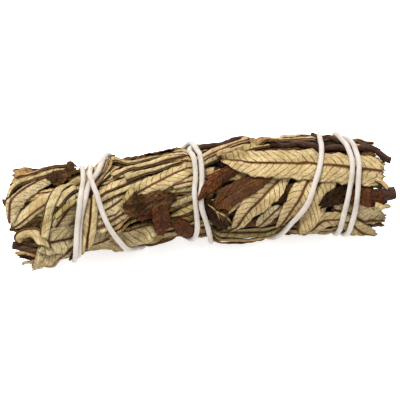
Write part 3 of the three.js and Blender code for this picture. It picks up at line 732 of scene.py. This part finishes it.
def lay_stem(name, radius, way, material=BARK, seed=1):
    """A thin stem laid on the bundle, stiff enough to bridge what is under it."""
    points, heading, run = path_through(way, STEM_SPACING)
    around = points[:, 1] / PER_DEGREE
    levels = [relief_at(points[:, 0] - heading[:, 1] * x,
                        (points[:, 1] + heading[:, 0] * x) / PER_DEGREE)
              for x in (-radius, -radius / 2, 0, radius / 2, radius)]
    base = np.max(levels, 0)
    h = base + radius * 0.9
    for _ in range(30):
        h = np.maximum(blurred(h, 0), base + radius * 0.8)
    for _ in range(6):
        h = blurred(h, 0)
    across = np.linspace(-1, 1, 7)[None, :] * radius
    raise_relief(points[:, :1] - heading[:, 1:] * across,
                 (points[:, 1:] + heading[:, :1] * across) / PER_DEGREE,
                 h[:, None] + np.sqrt(np.maximum(radius ** 2 - across ** 2, 0)), STEM_SPACING)
    shown = h - pressed_in(points[:, 0], around)
    shown = np.minimum(shown, floor_reach(around, radius * 1.3))
    at = place(points[:, 0], around, shown)
    tube(name, at, stem_radius(len(at), STEM_SIDES, radius, seed, run), STEM_SIDES, material,
         seed, stands_for=[name])


# ---- The core --------------------------------------------------------------------------------

CORE_SIDES = 16
CORE_STEMS_APART = 72
CORE_STEM_ENDS = ((-47, 48.2), (-48.5, 45.5), (-46.5, 47), (-48, 44.8), (-47.2, 46.5))
PACKED_FROM, PACKED_TO, PACKED_REACH = -43, 42.5, 8.9


def core_stem(name, radius, angle, reach, start, end, seed):
    along = np.arange(start, end, 0.6)
    around = angle + 3 * wave(along, seed, 60)
    at = place(along, around, np.full_like(along, reach))
    tube(name, at, stem_radius(len(at), CORE_SIDES, radius, seed, along), CORE_SIDES, BARK,
         seed, stands_for=[name])


def add_packed_leaves():
    """The folded mass of leaves round the core stems, rounded off at both ends."""
    along = np.arange(PACKED_FROM, PACKED_TO, 0.5)
    turn = np.linspace(0, 2 * math.pi, 121)[None, :]
    folds = sum(np.sin(k * turn + 3 * wave(along, 60 + k, 30)[:, None]) for k in (9, 14, 23)) / 3
    from_end = np.minimum(along - PACKED_FROM, PACKED_TO - along)[:, None]
    packed = np.minimum(PACKED_REACH, 5 + from_end) + 0.5 * folds
    tube("packed_leaves", place(along, 0, np.zeros_like(along)), packed, 120, BARK_DARK,
         9)


def add_core():
    core_stem("core_stem_centre", 1.85, 0, 0.3, -48.2, 46.3, 11)
    for k, (start, end) in enumerate(CORE_STEM_ENDS):
        core_stem(f"core_stem_{k + 1}", 1.5, 80 + CORE_STEMS_APART * k, 4.0, start, end, 20 + k)
    add_packed_leaves()


# ---- The leaves that fill the bundle -----------------------------------------------------------

LEFT_END, RIGHT_END = -48.5, 46.5
# How far out each inner layer starts, and how many leaves it has at each end.
INNER_LAYERS = ((5.4, 6), (6.6, 8), (7.8, 9))
INNER_KINDS = (BROWN, DEEP, OLIVE, GREY, BROWN, DEEP, TAN)
ROLLED_COLUMNS = ((LEFT_END, -21.7), (-22, 4.3), (4, 28), (27.6, RIGHT_END))
ROLLED_ROUND = 15
ROLLED_KINDS_LEFT = (PACKED, TAN, TAN, OLIVE, PACKED)
ROLLED_KINDS_RIGHT = (DEEP, BROWN, DEEP, OLIVE, BROWN)
ROLLED_NODES = [f"rolled_leaf_{k}" for k in range(1, 8)]
# How far out the bundle is filled before the rolled leaves go on, and how far that holds.
FULLNESS = 9.2
FILLED_MIDDLE, FILLED_HALF = -1, 43
# The angle of the low front, and how far round it reaches.
LOW_FRONT, LOW_FRONT_REACH = 130, 40


def grows(change, start, full):
    """A change in fullness that begins at one place along the bundle and is full at another."""
    return change * np.clip((grid_along - start) / (full - start), 0, 1)[:, None]


def add_inner_leaves(dice):
    """Crumpled leaves in the two ends of the bundle, of which only the tips show."""
    drawn_in, drawn_in_reach = 3.5, 35
    count = 0
    for layer, (level, many) in enumerate(INNER_LAYERS):
        np.maximum(relief, level, out=relief)
        for end in (-1, 1):
            for k in range(many):
                angle = 360 * (k + 0.5 * (layer % 2)) / many + dice.uniform(-12, 12)
                tip = (LEFT_END if end < 0 else RIGHT_END) + dice.uniform(-1.8, 1.8)
                if end < 0:
                    tip += drawn_in * math.exp(-((angle - LOW_FRONT) / drawn_in_reach) ** 2)
                away = tip - end * dice.uniform(13, 17)
                way = [[tip, angle], [away, angle + dice.uniform(-14, 14)]]
                count += 1
                lay_leaf(f"inner_leaf_{count}", dice.uniform(6, 9), ("cut", "base"), way,
                         INNER_KINDS[count % len(INNER_KINDS)], "leaf_folded",
                         rib=dice.uniform(-0.6, 0.6), dome=0.7, spacing=0.6, stiff=1.2,
                         stands_for=False, edges=dice.uniform(0, 1.4, 2), ripple=0.5,
                         crumple=0.18,
                         limit=lambda around: floor_reach(around, 0.6) - 0.4)
    return count


def fill_out():
    """Raise the relief to the bundle's fullness, which is less towards the tip end."""
    low_front = np.exp(-((grid_round - LOW_FRONT) / LOW_FRONT_REACH) ** 2)
    fullness = FULLNESS + grows(1.1, 0, 12) + grows(-1.3, -20, -35) + grows(-0.8, -43, -47)
    fullness = fullness + low_front * grows(-1.3, -29, -34)
    fullness = fullness + 0.9 * low_front * np.exp(-((grid_along + 20) / 11) ** 4)[:, None]
    start = np.minimum(fullness * oval(grid_round), floor_reach(grid_round, 2.4))
    middle = np.abs(grid_along - FILLED_MIDDLE) < FILLED_HALF
    relief[middle] = np.maximum(relief[middle], start[middle])
    np.minimum(relief, floor_reach(grid_round, 1.2)[None, :], out=relief)


def add_rolled_leaves(dice, count):
    """Rolled leaves side by side all round the bundle, seen in the gaps between the outer ones."""
    for column, (left, right) in enumerate(ROLLED_COLUMNS):
        kinds = ROLLED_KINDS_LEFT if column < 2 else ROLLED_KINDS_RIGHT
        for k in range(ROLLED_ROUND):
            angle = 360 * (k + 0.5 * (column % 2)) / ROLLED_ROUND + dice.uniform(-8, 8)
            lean = dice.uniform(-14, 14)
            way = [[left + dice.uniform(-1.2, 1.5), angle],
                   [(left + right) / 2, angle + lean / 2 + dice.uniform(-4, 4)],
                   [right + dice.uniform(-1.5, 1.2), angle + lean]]
            count += 1
            made = lay_leaf(f"rolled_leaf_part_{count}", dice.uniform(4, 6), ("cut", "cut"), way,
                            kinds[count % len(kinds)], "leaf_folded",
                            rib=dice.uniform(-0.7, 0.7), dome=0.7, spacing=0.5, stiff=1.5,
                            stands_for=False, ripple=0.4, crumple=0.12,
                            edges=dice.uniform(0, 0.45, 2),
                            limit=lambda around: floor_reach(around, 0.9))
            if column == 0 and k < len(ROLLED_NODES):
                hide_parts(ROLLED_NODES[k])


def add_fillers():
    dice = np.random.default_rng(5)
    count = add_inner_leaves(dice)
    fill_out()
    add_rolled_leaves(dice, count)


# ---- The leaves on the underside ---------------------------------------------------------------

def underside_leaf(name, left, right):
    way = [[left, 180], [(left + right) / 2, 181], [right, 180]]
    lay_leaf(name, 14, ("base", "base"), way, dome=0.3, spacing=0.4, stiff=3, ripple=0.1)


# ---- The outer leaves --------------------------------------------------------------------------

BROAD_TO_TIP = ("base", "tip")
TIP_TO_BROAD = ("tip", "base")
CUT_TO_TIP = ("cut", "tip")
TIP_TO_CUT = ("tip", "cut")
BOTH_BASE = ("base", "base")
BOTH_CUT = ("cut", "cut")
BOTH_TIP = ("tip", "tip")

STRIP = {"slot": "leaf_folded", "dome": 0.8, "rib_height": 0.25, "material": OLIVE,
         "ripple": 0.1, "rib": 0.75}


def blade(material, **changes):
    """An outer leaf of the bundle."""
    return {"material": material, **changes}


def spare(material, **changes):
    """A leaf like the outer ones that stands for no part of its own."""
    return {"material": material, "stands_for": False, **changes}


def strip(**changes):
    """A narrow folded leaf."""
    return {**STRIP, **changes}


def scrap(**changes):
    """A narrow folded leaf that stands for no part of its own."""
    return {**STRIP, "stands_for": False, **changes}


def dark(material, **changes):
    """A crumpled leaf with its dark upper side outwards."""
    return {"slot": "leaf_topside", "material": material, "ripple": 0.5, "dome": 0.45,
            "crumple": 0.16, "rib_height": 0.25, **changes}


# Each leaf's name, width, the shape of its two ends, the way between them, and the rest.
LOWER_LEAVES = [
    ("leaf_flank_front_left", 6, BROAD_TO_TIP, [[-47, 136], [-30, 133], [-8, 130]], {}),
    ("leaf_flank_front_right", 6, TIP_TO_BROAD, [[-3, 129], [18, 131], [45, 135]], {}),
    ("leaf_flank_back_left", 6, BROAD_TO_TIP, [[-48, 226], [-32, 228], [-12, 231]], {}),
    ("leaf_flank_back_right", 6, TIP_TO_BROAD, [[-8, 229], [20, 232], [45, 227]],
     blade(OLIVE, slot="leaf_folded")),
    ("strip_low_front_2", 2.4, BOTH_CUT, [[-20, 121], [-8, 124], [4, 121]], scrap(material=BROWN)),
    ("leaf_low_front_middle", 4.5, BOTH_BASE, [[-12, 114], [6, 116], [29, 112]],
     scrap(material=FOLD[1], rib=0.3, dome=0.8)),
    ("strip_low_front_3", 1.8, BOTH_TIP, [[-2, 101], [9, 112], [24, 113]], scrap()),
    ("strip_low_front_4", 1.5, BOTH_TIP, [[-1, 108], [10, 120], [23, 119]], scrap(material=TAN)),
    ("strip_low_front_5", 1.5, BOTH_TIP, [[2, 117], [13, 127], [27, 124]], scrap(material=PACKED)),
    ("leaf_low_front_right", 5, TIP_TO_BROAD, [[22, 112], [34, 113], [45, 120]],
     scrap(material=FOLD[1], rib=0.1, dome=0.5)),
]
CREST_LEAVES = [
    ("leaf_crest_1", 5, BOTH_BASE, [[-38, -58], [-32, -58], [-24, -58]],
     scrap(material=FOLD[1], rib=0.1, dome=0.4)),
    ("leaf_crest_2", 5.5, BOTH_BASE, [[-31, -48], [-27, -44], [-22, -44]],
     scrap(material=FOLD[2], rib=0.6, dome=0.25)),
    ("leaf_crest_3", 4.5, BOTH_BASE, [[-16, -54], [-9, -56], [-2, -54]],
     scrap(material=BROWN, rib=-0.4, dome=0.4)),
    ("leaf_crest_5", 5, BOTH_BASE, [[-6, -60], [6, -62], [18, -60]],
     scrap(material=FOLD[0], rib=0.3, dome=0.5)),
    ("leaf_crest_7", 4.5, BOTH_CUT, [[24, -66], [36, -64], [47.5, -66]],
     scrap(material=FOLD[2], rib=0.4, dome=0.5)),
]
TIP_END_LEAVES = [
    ("dark_end_left", 2.4, ("round", "cut"), [[-50, 8], [-49, -6], [-46.6, -18]],
     dark(BROWN, stands_for=False, dome=0.8)),
    ("scrap_left_tip", 2.4, ("tip", "cut"), [[-51.3, 8], [-50, 16], [-48, 30]],
     scrap(material=BROWN)),
    ("strip_left_below_curl", 1.2, BOTH_CUT, [[-49, 84], [-46, 86], [-43, 88]],
     scrap(material=TAN)),
    ("scrap_left_end_dark", 4, BOTH_CUT, [[-48, 91], [-45, 94], [-40, 96]],
     dark(DEEP, stands_for=False)),
    ("leaf_left_ground", 7.5, BROAD_TO_TIP, [[-42, 74], [-36, 52], [-30, 16]],
     blade(GREY, rib=0.2)),
    ("leaf_left_background", 5, BOTH_BASE, [[-39, 66], [-34.7, 43], [-30, 16]],
     spare(GREY, rib=-0.3)),
    ("leaf_left_low", 5.6, CUT_TO_TIP, [[-47, 99], [-42, 95], [-37, 85]],
     blade(CREAM[0], rib=0.45, edges=(0.3, 0.5))),
    ("leaf_left_narrow", 3.8, CUT_TO_TIP, [[-49, 48], [-42.7, 29], [-37.7, 17], [-33, 5]],
     blade(FOLD[0], rib=0.45, dome=0.9)),
    ("strip_left_inner", 1.7, BOTH_CUT, [[-38, 44], [-35, 34], [-31, 27]], scrap()),
    ("leaf_left_flare", 7.5, BROAD_TO_TIP, [[-44.5, 94], [-39, 86], [-31, 79]],
     spare(NETTED, rib=0.45, rib_height=0.5, edges=(0, 0.9), ripple=0.5)),
    ("leaf_left_broad", 6, BROAD_TO_TIP, [[-42.5, 70], [-37, 70], [-31, 77]],
     spare(GREY, rib=0.2, rib_height=0.15, edges=(0.3, 0.6))),
    ("leaf_left_curled", 3.4, ("round", "tip"),
     [[-47.2, 76], [-47.6, 66], [-45, 61], [-41.6, 66], [-39.8, 75]],
     blade(FOLD[0], rib=-0.8, dome=1.2, edges=(0.8, 0.2), ripple=0.3)),
    ("leaf_left_ribbed", 4.8, BROAD_TO_TIP,
     [[-49.4, 45], [-48, 22], [-44.8, 4], [-40.9, -11], [-35.5, -21]],
     blade(NETTED, rib=-0.42, rib_height=0.6, dome=0.8, vein_every=1.7)),
    ("strip_left_rim", 2.1, BOTH_BASE,
     [[-49.6, 13], [-48.6, -3], [-45.6, -16], [-41.2, -28], [-33, -46]],
     strip(material=FOLD[1], dome=1.0)),
    ("strip_left_crest", 1.8, BOTH_CUT, [[-47.8, -14], [-44.5, -27], [-39, -38], [-32, -50]],
     scrap(material=TAN)),
    ("dark_scrap_left", 4, BOTH_CUT, [[-38.4, -8], [-35.5, -21], [-31.8, -40]],
     dark(GOLD, stands_for=False, crumple=0.3)),
]
MIDDLE_LEAVES = [
    ("leaf_below_long", 4.4, BOTH_BASE, [[-29, 104], [-20.8, 106], [-13, 98]],
     spare(GREY, rib=0.6)),
    ("leaf_below_middle", 3.2, BOTH_CUT, [[-15, 97], [-8.9, 101], [-3.6, 100]],
     spare(OLIVE, rib=0.6)),
    ("leaf_long_low", 5.6, BOTH_BASE, [[-35, 104], [-28, 96], [-20, 89], [-11, 82]],
     blade(CREAM[1], rib=-0.72, rib_height=0.7, dome=0.6)),
    ("leaf_middle_low", 5, BOTH_BASE, [[-31.5, 86], [-27, 80], [-22, 70]], spare(GREY, rib=0.5)),
    ("strip_fan_1", 1.4, BOTH_CUT, [[-25, 76], [-21.5, 66], [-18, 54]], scrap(material=TAN)),
    ("strip_fan_2", 1.3, BOTH_CUT, [[-24.6, 80], [-19.6, 70], [-14.5, 62]], scrap()),
    ("strip_fan_3", 1.2, BOTH_CUT, [[-26, 70], [-23.6, 62], [-20.4, 49]], scrap()),
    ("leaf_middle_under", 5, BOTH_BASE, [[-30, 66], [-25, 57], [-18, 42]], spare(NETTED, rib=0.4)),
    ("leaf_middle_netted", 4.6, BROAD_TO_TIP, [[-29, 53], [-23.4, 41], [-17, 25]],
     blade(NETTED, rib=0.1)),
    ("leaf_middle_lower", 2.5, CUT_TO_TIP, [[-28, 32], [-20.5, 24], [-14, 14]],
     strip(slot="leaf_underside", material=FOLD[1], rib=0.8)),
    ("leaf_middle_upper", 3, CUT_TO_TIP, [[-27.5, 22], [-20.3, 11], [-13, 0]],
     blade(CREAM[0], rib=0.8, dome=0.7)),
    ("leaf_middle_patch", 4, BOTH_BASE, [[-26, -3], [-21.5, -5], [-17, -6]],
     spare(CREAM[2], rib=0.3)),
    ("leaf_behind_string", 3.2, BOTH_CUT, [[-7.5, 27], [-4, 24], [1, 20]],
     scrap(material=FOLD[2], rib=0.2)),
    ("strip_middle_lower", 2.4, TIP_TO_CUT, [[-9.5, 72], [-2, 62], [3, 56]], strip()),
    ("strip_middle_upper", 2.4, TIP_TO_CUT, [[-11, 57], [-3, 47], [2, 41]],
     strip(slot="leaf_underside", material=GREY, rib=-0.7)),
    ("strip_left_second", 2, BOTH_CUT, [[-37.6, 31], [-34, 15], [-29.8, 2]],
     scrap(material=FOLD[0])),
    ("strip_left_bent", 2.6, BOTH_CUT,
     [[-41.3, 62], [-40.2, 46], [-39.1, 30], [-35.8, 8], [-31.4, -14], [-28, -28]],
     strip(material=FOLD[1], rib=-0.8, dome=1.0)),
    ("leaf_upright", 2.6, BOTH_CUT, [[-32.4, 92], [-30.6, 56], [-29.6, 26]],
     blade(FOLD[0], rib=0.85, dome=1.0, rib_height=0.1)),
    ("leaf_upright_half", 2, BOTH_CUT, [[-29.8, 84], [-28.3, 54], [-27.4, 24]],
     scrap(material=FOLD[0], rib=-0.85, dome=0.9)),
    ("leaf_centre", 6.3, BOTH_BASE, [[-20, 38], [-11.9, 22], [0, -4]],
     blade(CREAM[0], rib=-0.05, rib_height=0.5)),
    ("strip_top_lower", 2.3, CUT_TO_TIP, [[-19.4, 9], [-14.4, 2], [-4, -11]],
     strip(material=FOLD[1])),
    ("strip_top_upper", 2.3, CUT_TO_TIP, [[-23, 1], [-15.1, -13], [-3, -19]],
     strip(slot="leaf_underside", material=FOLD[0])),
    ("strip_crest", 2.2, CUT_TO_TIP, [[-22.8, -31], [-16, -31], [-7, -44]],
     strip(slot="leaf_underside", material=FOLD[1], dome=0.5)),
    ("leaf_fan_under", 4, BOTH_BASE, [[-29.4, 8], [-27.4, -12], [-25, -42]],
     spare(CREAM[2], rib=0.6, dome=0.1, rib_height=0.1)),
    ("strip_top_fan_1", 1.3, BOTH_CUT, [[-27, 4], [-24.2, -8], [-20.8, -18]],
     scrap(material=FOLD[2])),
    ("strip_top_fan_2", 1.4, BOTH_CUT, [[-27.6, 11], [-25.6, -6], [-22.8, -26]],
     scrap(material=TAN, rib=-0.7)),
    ("strip_top_fan_4", 2.2, BOTH_CUT, [[-25.8, -8], [-24.6, -24], [-23.4, -46]],
     scrap(material=FOLD[2], dome=0.3)),
    ("strip_top_fan_3", 1.5, BOTH_CUT, [[-28.4, 15], [-27.2, -4], [-25.2, -32]],
     scrap(material=FOLD[2])),
    ("leaf_crest_right", 2.2, BOTH_CUT, [[-9, -30], [-4, -34], [1, -40]], scrap(material=FOLD[2])),
    ("lobe_centre", 2.6, BOTH_CUT, [[-20.2, 50], [-19.2, 38], [-17.6, 28]],
     scrap(material=OLIVE, dome=0.9)),
    ("dark_leaf_centre_below", 5, ("round", "round"), [[-19.5, 54], [-14, 56], [-8, 50]],
     dark(RED, stands_for=False, ragged=0.14, crumple=0.25)),
    ("dark_leaf_centre", 5.8, ("round", "base"), [[-20.8, 44], [-15, 47], [-7, 43]],
     dark(GOLD, ragged=0.12, crumple=0.25)),
    ("dark_leaf_hanging", 4.6, ("cut", "round"), [[-11.4, 52], [-11, 68], [-10.4, 92]],
     dark(RED, stands_for=False)),
    ("dark_leaf_low", 4.2, BOTH_BASE, [[-7.4, 78], [-4.5, 96], [-2.4, 120]],
     dark(RED, stands_for=False)),
    ("strip_right_of_string_1", 1.7, BOTH_CUT, [[-0.5, -11], [5.8, -25], [13, -46]],
     scrap(material=FOLD[0])),
    ("strip_right_of_string_2", 1.5, BOTH_CUT, [[-0.2, -4], [6, -18], [13.5, -36]],
     scrap(material=TAN, rib=-0.7)),
    ("strip_right_of_string_3", 1.6, BOTH_CUT, [[0.2, 2], [6.3, -10], [12.5, -25]],
     scrap(material=FOLD[1])),
]
STEM_END_LEAVES = [
    ("dark_leaf_low_right", 4.5, BOTH_BASE, [[0.8, 52], [3, 70], [5.5, 94]],
     dark(DEEP, stands_for=False)),
    ("dark_leaf_low_right_2", 3.6, BOTH_BASE, [[4, 66], [8, 80], [11, 98]],
     dark(BROWN, stands_for=False)),
    ("fibre_low_1", 0.5, BOTH_TIP, [[1.2, 56], [3.2, 64], [4, 74]], scrap(material=TAN)),
    ("fibre_low_2", 0.6, BOTH_TIP, [[3, 62], [5.4, 70], [7.6, 84]], scrap(material=OLIVE)),
    ("fibre_low_3", 0.7, BOTH_TIP, [[6.8, 84], [5.6, 74], [6.6, 62]], scrap(material=GOLD)),
    ("leaf_right_scrap_low", 4, BOTH_BASE, [[14.2, 97], [16.8, 82], [20, 66]], spare(GREY)),
    ("strip_right_low", 2.2, BOTH_CUT, [[6.9, 66], [10.4, 54], [15.6, 38]],
     scrap(material=FOLD[1])),
    ("leaf_right_first", 6.8, TIP_TO_BROAD, [[6.5, 103], [11.6, 69], [16.5, 48], [23, 22]],
     blade(CREAM[0], rib_height=0.5, vein_every=1.7)),
    ("leaf_end_upper", 6.4, BOTH_BASE, [[34, 69], [41, 80], [47.4, 92]], blade(GREY, rib=0.5)),
    ("leaf_end_lower", 5.2, BOTH_BASE, [[25.5, 100], [31.8, 86], [37, 90], [41, 103], [45.6, 126]],
     blade(CREAM[0], rib=0.0)),
    ("leaf_right_third", 6, TIP_TO_BROAD, [[24.5, 99], [29.4, 64], [34, 30]],
     blade(CREAM[0], rib=-0.75, dome=0.7, vein_every=1.7)),
    ("leaf_right_second", 5.6, TIP_TO_BROAD, [[19.2, 105], [23.5, 67], [29, 24]],
     blade(CREAM[0], rib=0.05, rib_height=0.5, vein_every=1.7)),
    ("dark_leaf_netted", 5.2, BOTH_BASE, [[18.5, 25], [11.2, 38], [3, 58]], dark(DARK)),
    ("dark_leaf_right", 4.6, BOTH_BASE, [[30.2, 66], [34, 56], [39, 52], [46, 53]], dark(DEEP)),
    ("dark_scrap_right", 4, BOTH_CUT, [[37.6, 56], [41.9, 53], [46, 54]],
     dark(RED, stands_for=False)),
    ("dark_leaf_red", 4, ("cut", "tip"), [[10.5, 7], [4.4, 26], [-1.4, 50]],
     dark(RED, over_string=True)),
    ("leaf_top_middle", 2, BOTH_CUT, [[-1, -3], [6.4, -16], [13.6, -35]],
     strip(material=FOLD[2], rib=0.6)),
    ("strip_top_right_1", 1.5, BOTH_CUT, [[4.6, -4], [9.4, -12], [14.8, -22]],
     scrap(material=TAN)),
    ("strip_top_right_2", 1.7, BOTH_CUT, [[9, -5], [13.4, -13], [19, -21]], scrap(material=OLIVE)),
    ("scrap_top_right", 1.6, BOTH_CUT, [[14, -29], [17.5, -33], [21.5, -30]], scrap(material=TAN)),
    ("scrap_crest_right_1", 1.8, BOTH_CUT, [[21, -42], [26, -49], [32, -50]],
     scrap(material=FOLD[2])),
    ("scrap_crest_right_2", 1.5, BOTH_CUT, [[38.4, -36], [40.4, -30], [42.6, -22]],
     scrap(material=FOLD[0])),
    ("leaf_broad", 8.8, ("point", "cut"),
     [[5.6, 1], [10.8, 7], [17.2, 11], [23.3, 13], [30.8, 17], [41.6, 21], [46.8, 23]],
     blade(CREAM[0], rib=-0.04, dome=0.5, vein_every=1.9, stiff=4, ripple=0.2)),
    ("scrap_end_1", 1.5, BOTH_CUT, [[45, 33], [46.6, 37], [47.8, 44]], scrap(material=FOLD[2])),
    ("scrap_end_2", 2.4, BOTH_CUT, [[43.5, 60], [46, 64], [48, 70]], scrap(material=FOLD[1])),
]
BACK_LEAVES = [
    ("leaf_back_low_left", 8, BROAD_TO_TIP, [[-49, 252], [-36, 244], [-20, 236], [-8, 246]],
     blade(CREAM[0])),
    ("leaf_back_low_middle", 8, TIP_TO_BROAD, [[-14, 264], [2, 251], [20, 240]], blade(CREAM[1])),
    ("leaf_back_low_right", 7.6, TIP_TO_BROAD, [[15, 264], [30, 253], [47, 244]], blade(CREAM[2])),
    ("leaf_back_high_left", 6.5, BROAD_TO_TIP, [[-48, 286], [-34, 276], [-17, 270]],
     blade(OLIVE, slot="leaf_folded")),
    ("dark_leaf_back", 6, BOTH_BASE, [[-21, 290], [-8, 284], [10, 277]], dark(DARK)),
    ("leaf_back_high_right", 6.5, TIP_TO_BROAD, [[6, 298], [24, 288], [45, 280]], blade(CREAM[0])),
]


def add_leaves(leaves):
    for name, width, ends, way, options in leaves:
        lay_leaf(name, width, ends, way, **options)


# ---- The string ------------------------------------------------------------------------------

STRING_SINK = 0.1
STRING_SIDES = 18
DRAWN_TIGHT_STEPS = 45
PLIES = 3
TWIST_LENGTH = 5.2
KNOT_TWIST = 5.2
# Points of the string this near to each other along it don't count as crossing.
SAME_TURN = 12


def string_heights():
    """How far out the string lies when it is drawn tight over the leaves and over itself."""
    along, up = string_path[:, 0], string_path[:, 1]
    around = up / PER_DEGREE
    base = np.full(len(along), 0.0)
    for share in (-0.8, -0.4, 0, 0.4, 0.8):
        x = share * STRING_RADIUS
        level = relief_at(along - string_heading[:, 1] * x,
                          (up + string_heading[:, 0] * x) / PER_DEGREE)
        base = np.maximum(base, level + STRING_RADIUS * math.sqrt(1 - share ** 2))
    base = base - pressed_in(along, around) - STRING_SINK
    turn = (around[:, None] - around[None, :] + 180) % 360 - 180
    apart = np.hypot(along[:, None] - along[None, :], turn * PER_DEGREE)
    step = np.arange(len(along))
    earlier = (step[:, None] - step[None, :]) > SAME_TURN
    touching = 2 * STRING_RADIUS
    over = np.where(earlier & (apart < touching),
                    np.sqrt(np.maximum(touching ** 2 - apart ** 2, 0)), -FAR)
    pull = np.cos(np.radians(np.abs(np.gradient(around))))
    h = base.copy()
    for _ in range(DRAWN_TIGHT_STEPS):
        mean = h.copy()
        mean[1:-1] = (h[:-2] + h[2:]) / 2 * pull[1:-1]
        h = np.maximum(mean, base)
        h = np.maximum(h, (h[None, :] + over).max(1))
    for _ in range(4):
        h = blurred(h, 0)
    return np.minimum(h, floor_reach(around, STRING_RADIUS + 0.05))


def string_tail(knot, sign):
    """One loose end, which leaves the knot along the bundle and droops a little."""
    reach = np.arange(1, 17)[:, None] * 0.55
    away = np.array([sign, 0.05, -0.25]) * reach
    out = np.array([0, 1, 0.15]) * (1.5 + 0.5 * np.sin(reach * 0.5))
    return knot + MM * (away + out)


def plies(turn, twist):
    """0 in the hollows between the plies and 1 on top of them."""
    return np.abs(np.sin(PLIES / 2 * (turn - twist)))


def add_string():
    at = place(string_path[:, 0], string_path[:, 1] / PER_DEGREE, string_heights())
    knot = at[0]
    line = np.concatenate([string_tail(knot, -1)[::-1], at, string_tail(knot, 1)])
    for _ in range(3):
        line[1:-1] = (line[:-2] + 2 * line[1:-1] + line[2:]) / 4
    run = np.concatenate([[0], np.cumsum(np.linalg.norm(np.diff(line, axis=0), axis=1))])
    even = np.arange(0, run[-1], 0.42 * MM)
    line = np.stack([np.interp(even, run, line[:, k]) for k in range(3)], -1)
    turn = np.linspace(0, 2 * math.pi, STRING_SIDES + 1)[None, :]
    ply = plies(turn, 2 * math.pi * even[:, None] / MM / TWIST_LENGTH)
    radius = STRING_RADIUS * (0.93 + 0.1 * ply ** 0.7
                              + 0.035 * wave(even / MM, 71, 9)[:, None])
    tube("cotton_string", line, radius, STRING_SIDES, COTTON, 3,
         stands_for=["cotton_string"], ply=ply)
    # The knot is a trefoil loop whose ends meet.
    t = np.linspace(0, 2 * math.pi, 90)
    loop = np.stack([np.sin(t) + 2 * np.sin(2 * t), 0.9 * np.sin(3 * t),
                     np.cos(t) - 2 * np.cos(2 * t)], -1) * 0.52
    knot_line = knot + MM * (loop + np.array([0, 1.0, 0.1]))
    ply = plies(turn, KNOT_TWIST * t[:, None])
    tube("cotton_string_knot", knot_line, STRING_RADIUS * (0.9 + 0.1 * ply), STRING_SIDES,
         COTTON, 4, ply=ply)


# ---- Building the bundle, from the inside out --------------------------------------------------

add_core()
add_fillers()
add_leaves(LOWER_LEAVES)
underside_leaf("leaf_underside_left", -46, -16.8)
underside_leaf("leaf_underside_middle", -12.8, 12.6)
underside_leaf("leaf_underside_right", 17, 45)
lay_stem("stem_stub_left", 0.95, [[-49.6, 82], [-46, 85], [-41, 87]], seed=31)
add_leaves(CREST_LEAVES)
add_leaves(TIP_END_LEAVES)
add_leaves(MIDDLE_LEAVES)
lay_stem("stem_end", 1.6, [[42.2, 56], [46, 54], [50, 51]], BARK_DARK, seed=34)
lay_stem("stem_top", 0.85, [[1, -42], [12, -42], [20.2, -34], [29.5, -19], [37.2, -15],
                            [42, -14], [50, -3]], BARK_DARK, seed=36)
add_leaves(STEM_END_LEAVES)
add_leaves(BACK_LEAVES)
lay_stem("twig_top", 0.6, [[31, 306], [34, 308], [38, 311], [43, 319], [48, 332]], seed=38)
add_string()


# ---- Setting and light -------------------------------------------------------------------------

FLOOR_SIZE = 6
FLOOR_GLOW = 0.62
KEY = {"size": 0.2, "power": 5.3, "place": (-0.12, 0.08, 0.6), "aim": (0, 0, 0.01)}
SKY = 1.1


def paper_material():
    n = Nodes("paper")
    for key, value in (("Base Color", (0.94, 0.94, 0.94)), ("Roughness", 0.9),
                       ("Specular IOR Level", 0.1), ("Emission Color", (0.94, 0.94, 0.94)),
                       ("Emission Strength", FLOOR_GLOW)):
        n.put(n.shader.inputs[key], value)
    return n.material


def add_floor():
    bpy.ops.object.select_all(action="DESELECT")
    bpy.ops.mesh.primitive_plane_add(size=FLOOR_SIZE, location=(0, 0, 0))
    floor = bpy.context.object
    floor.name = "floor"
    floor.data.materials.append(paper_material())


def add_key_light():
    bpy.ops.object.light_add(type="AREA", location=KEY["place"])
    light = bpy.context.object
    light.name = "key"
    light.data.shape = "DISK"
    light.data.size = KEY["size"]
    light.data.energy = KEY["power"]
    light.rotation_mode = "QUATERNION"
    light.rotation_quaternion = (Vector(KEY["aim"]) - Vector(KEY["place"])).to_track_quat("-Z", "Y")


def add_sky():
    world = bpy.data.worlds.new("studio")
    bpy.context.scene.world = world
    world.use_nodes = True
    sky = world.node_tree.nodes["Background"]
    sky.inputs["Color"].default_value = (1, 1, 1, 1)
    sky.inputs["Strength"].default_value = SKY


add_floor()
add_key_light()
add_sky()
bpy.context.scene.view_settings.view_transform = "Standard"
bpy.context.scene.view_settings.look = "None"
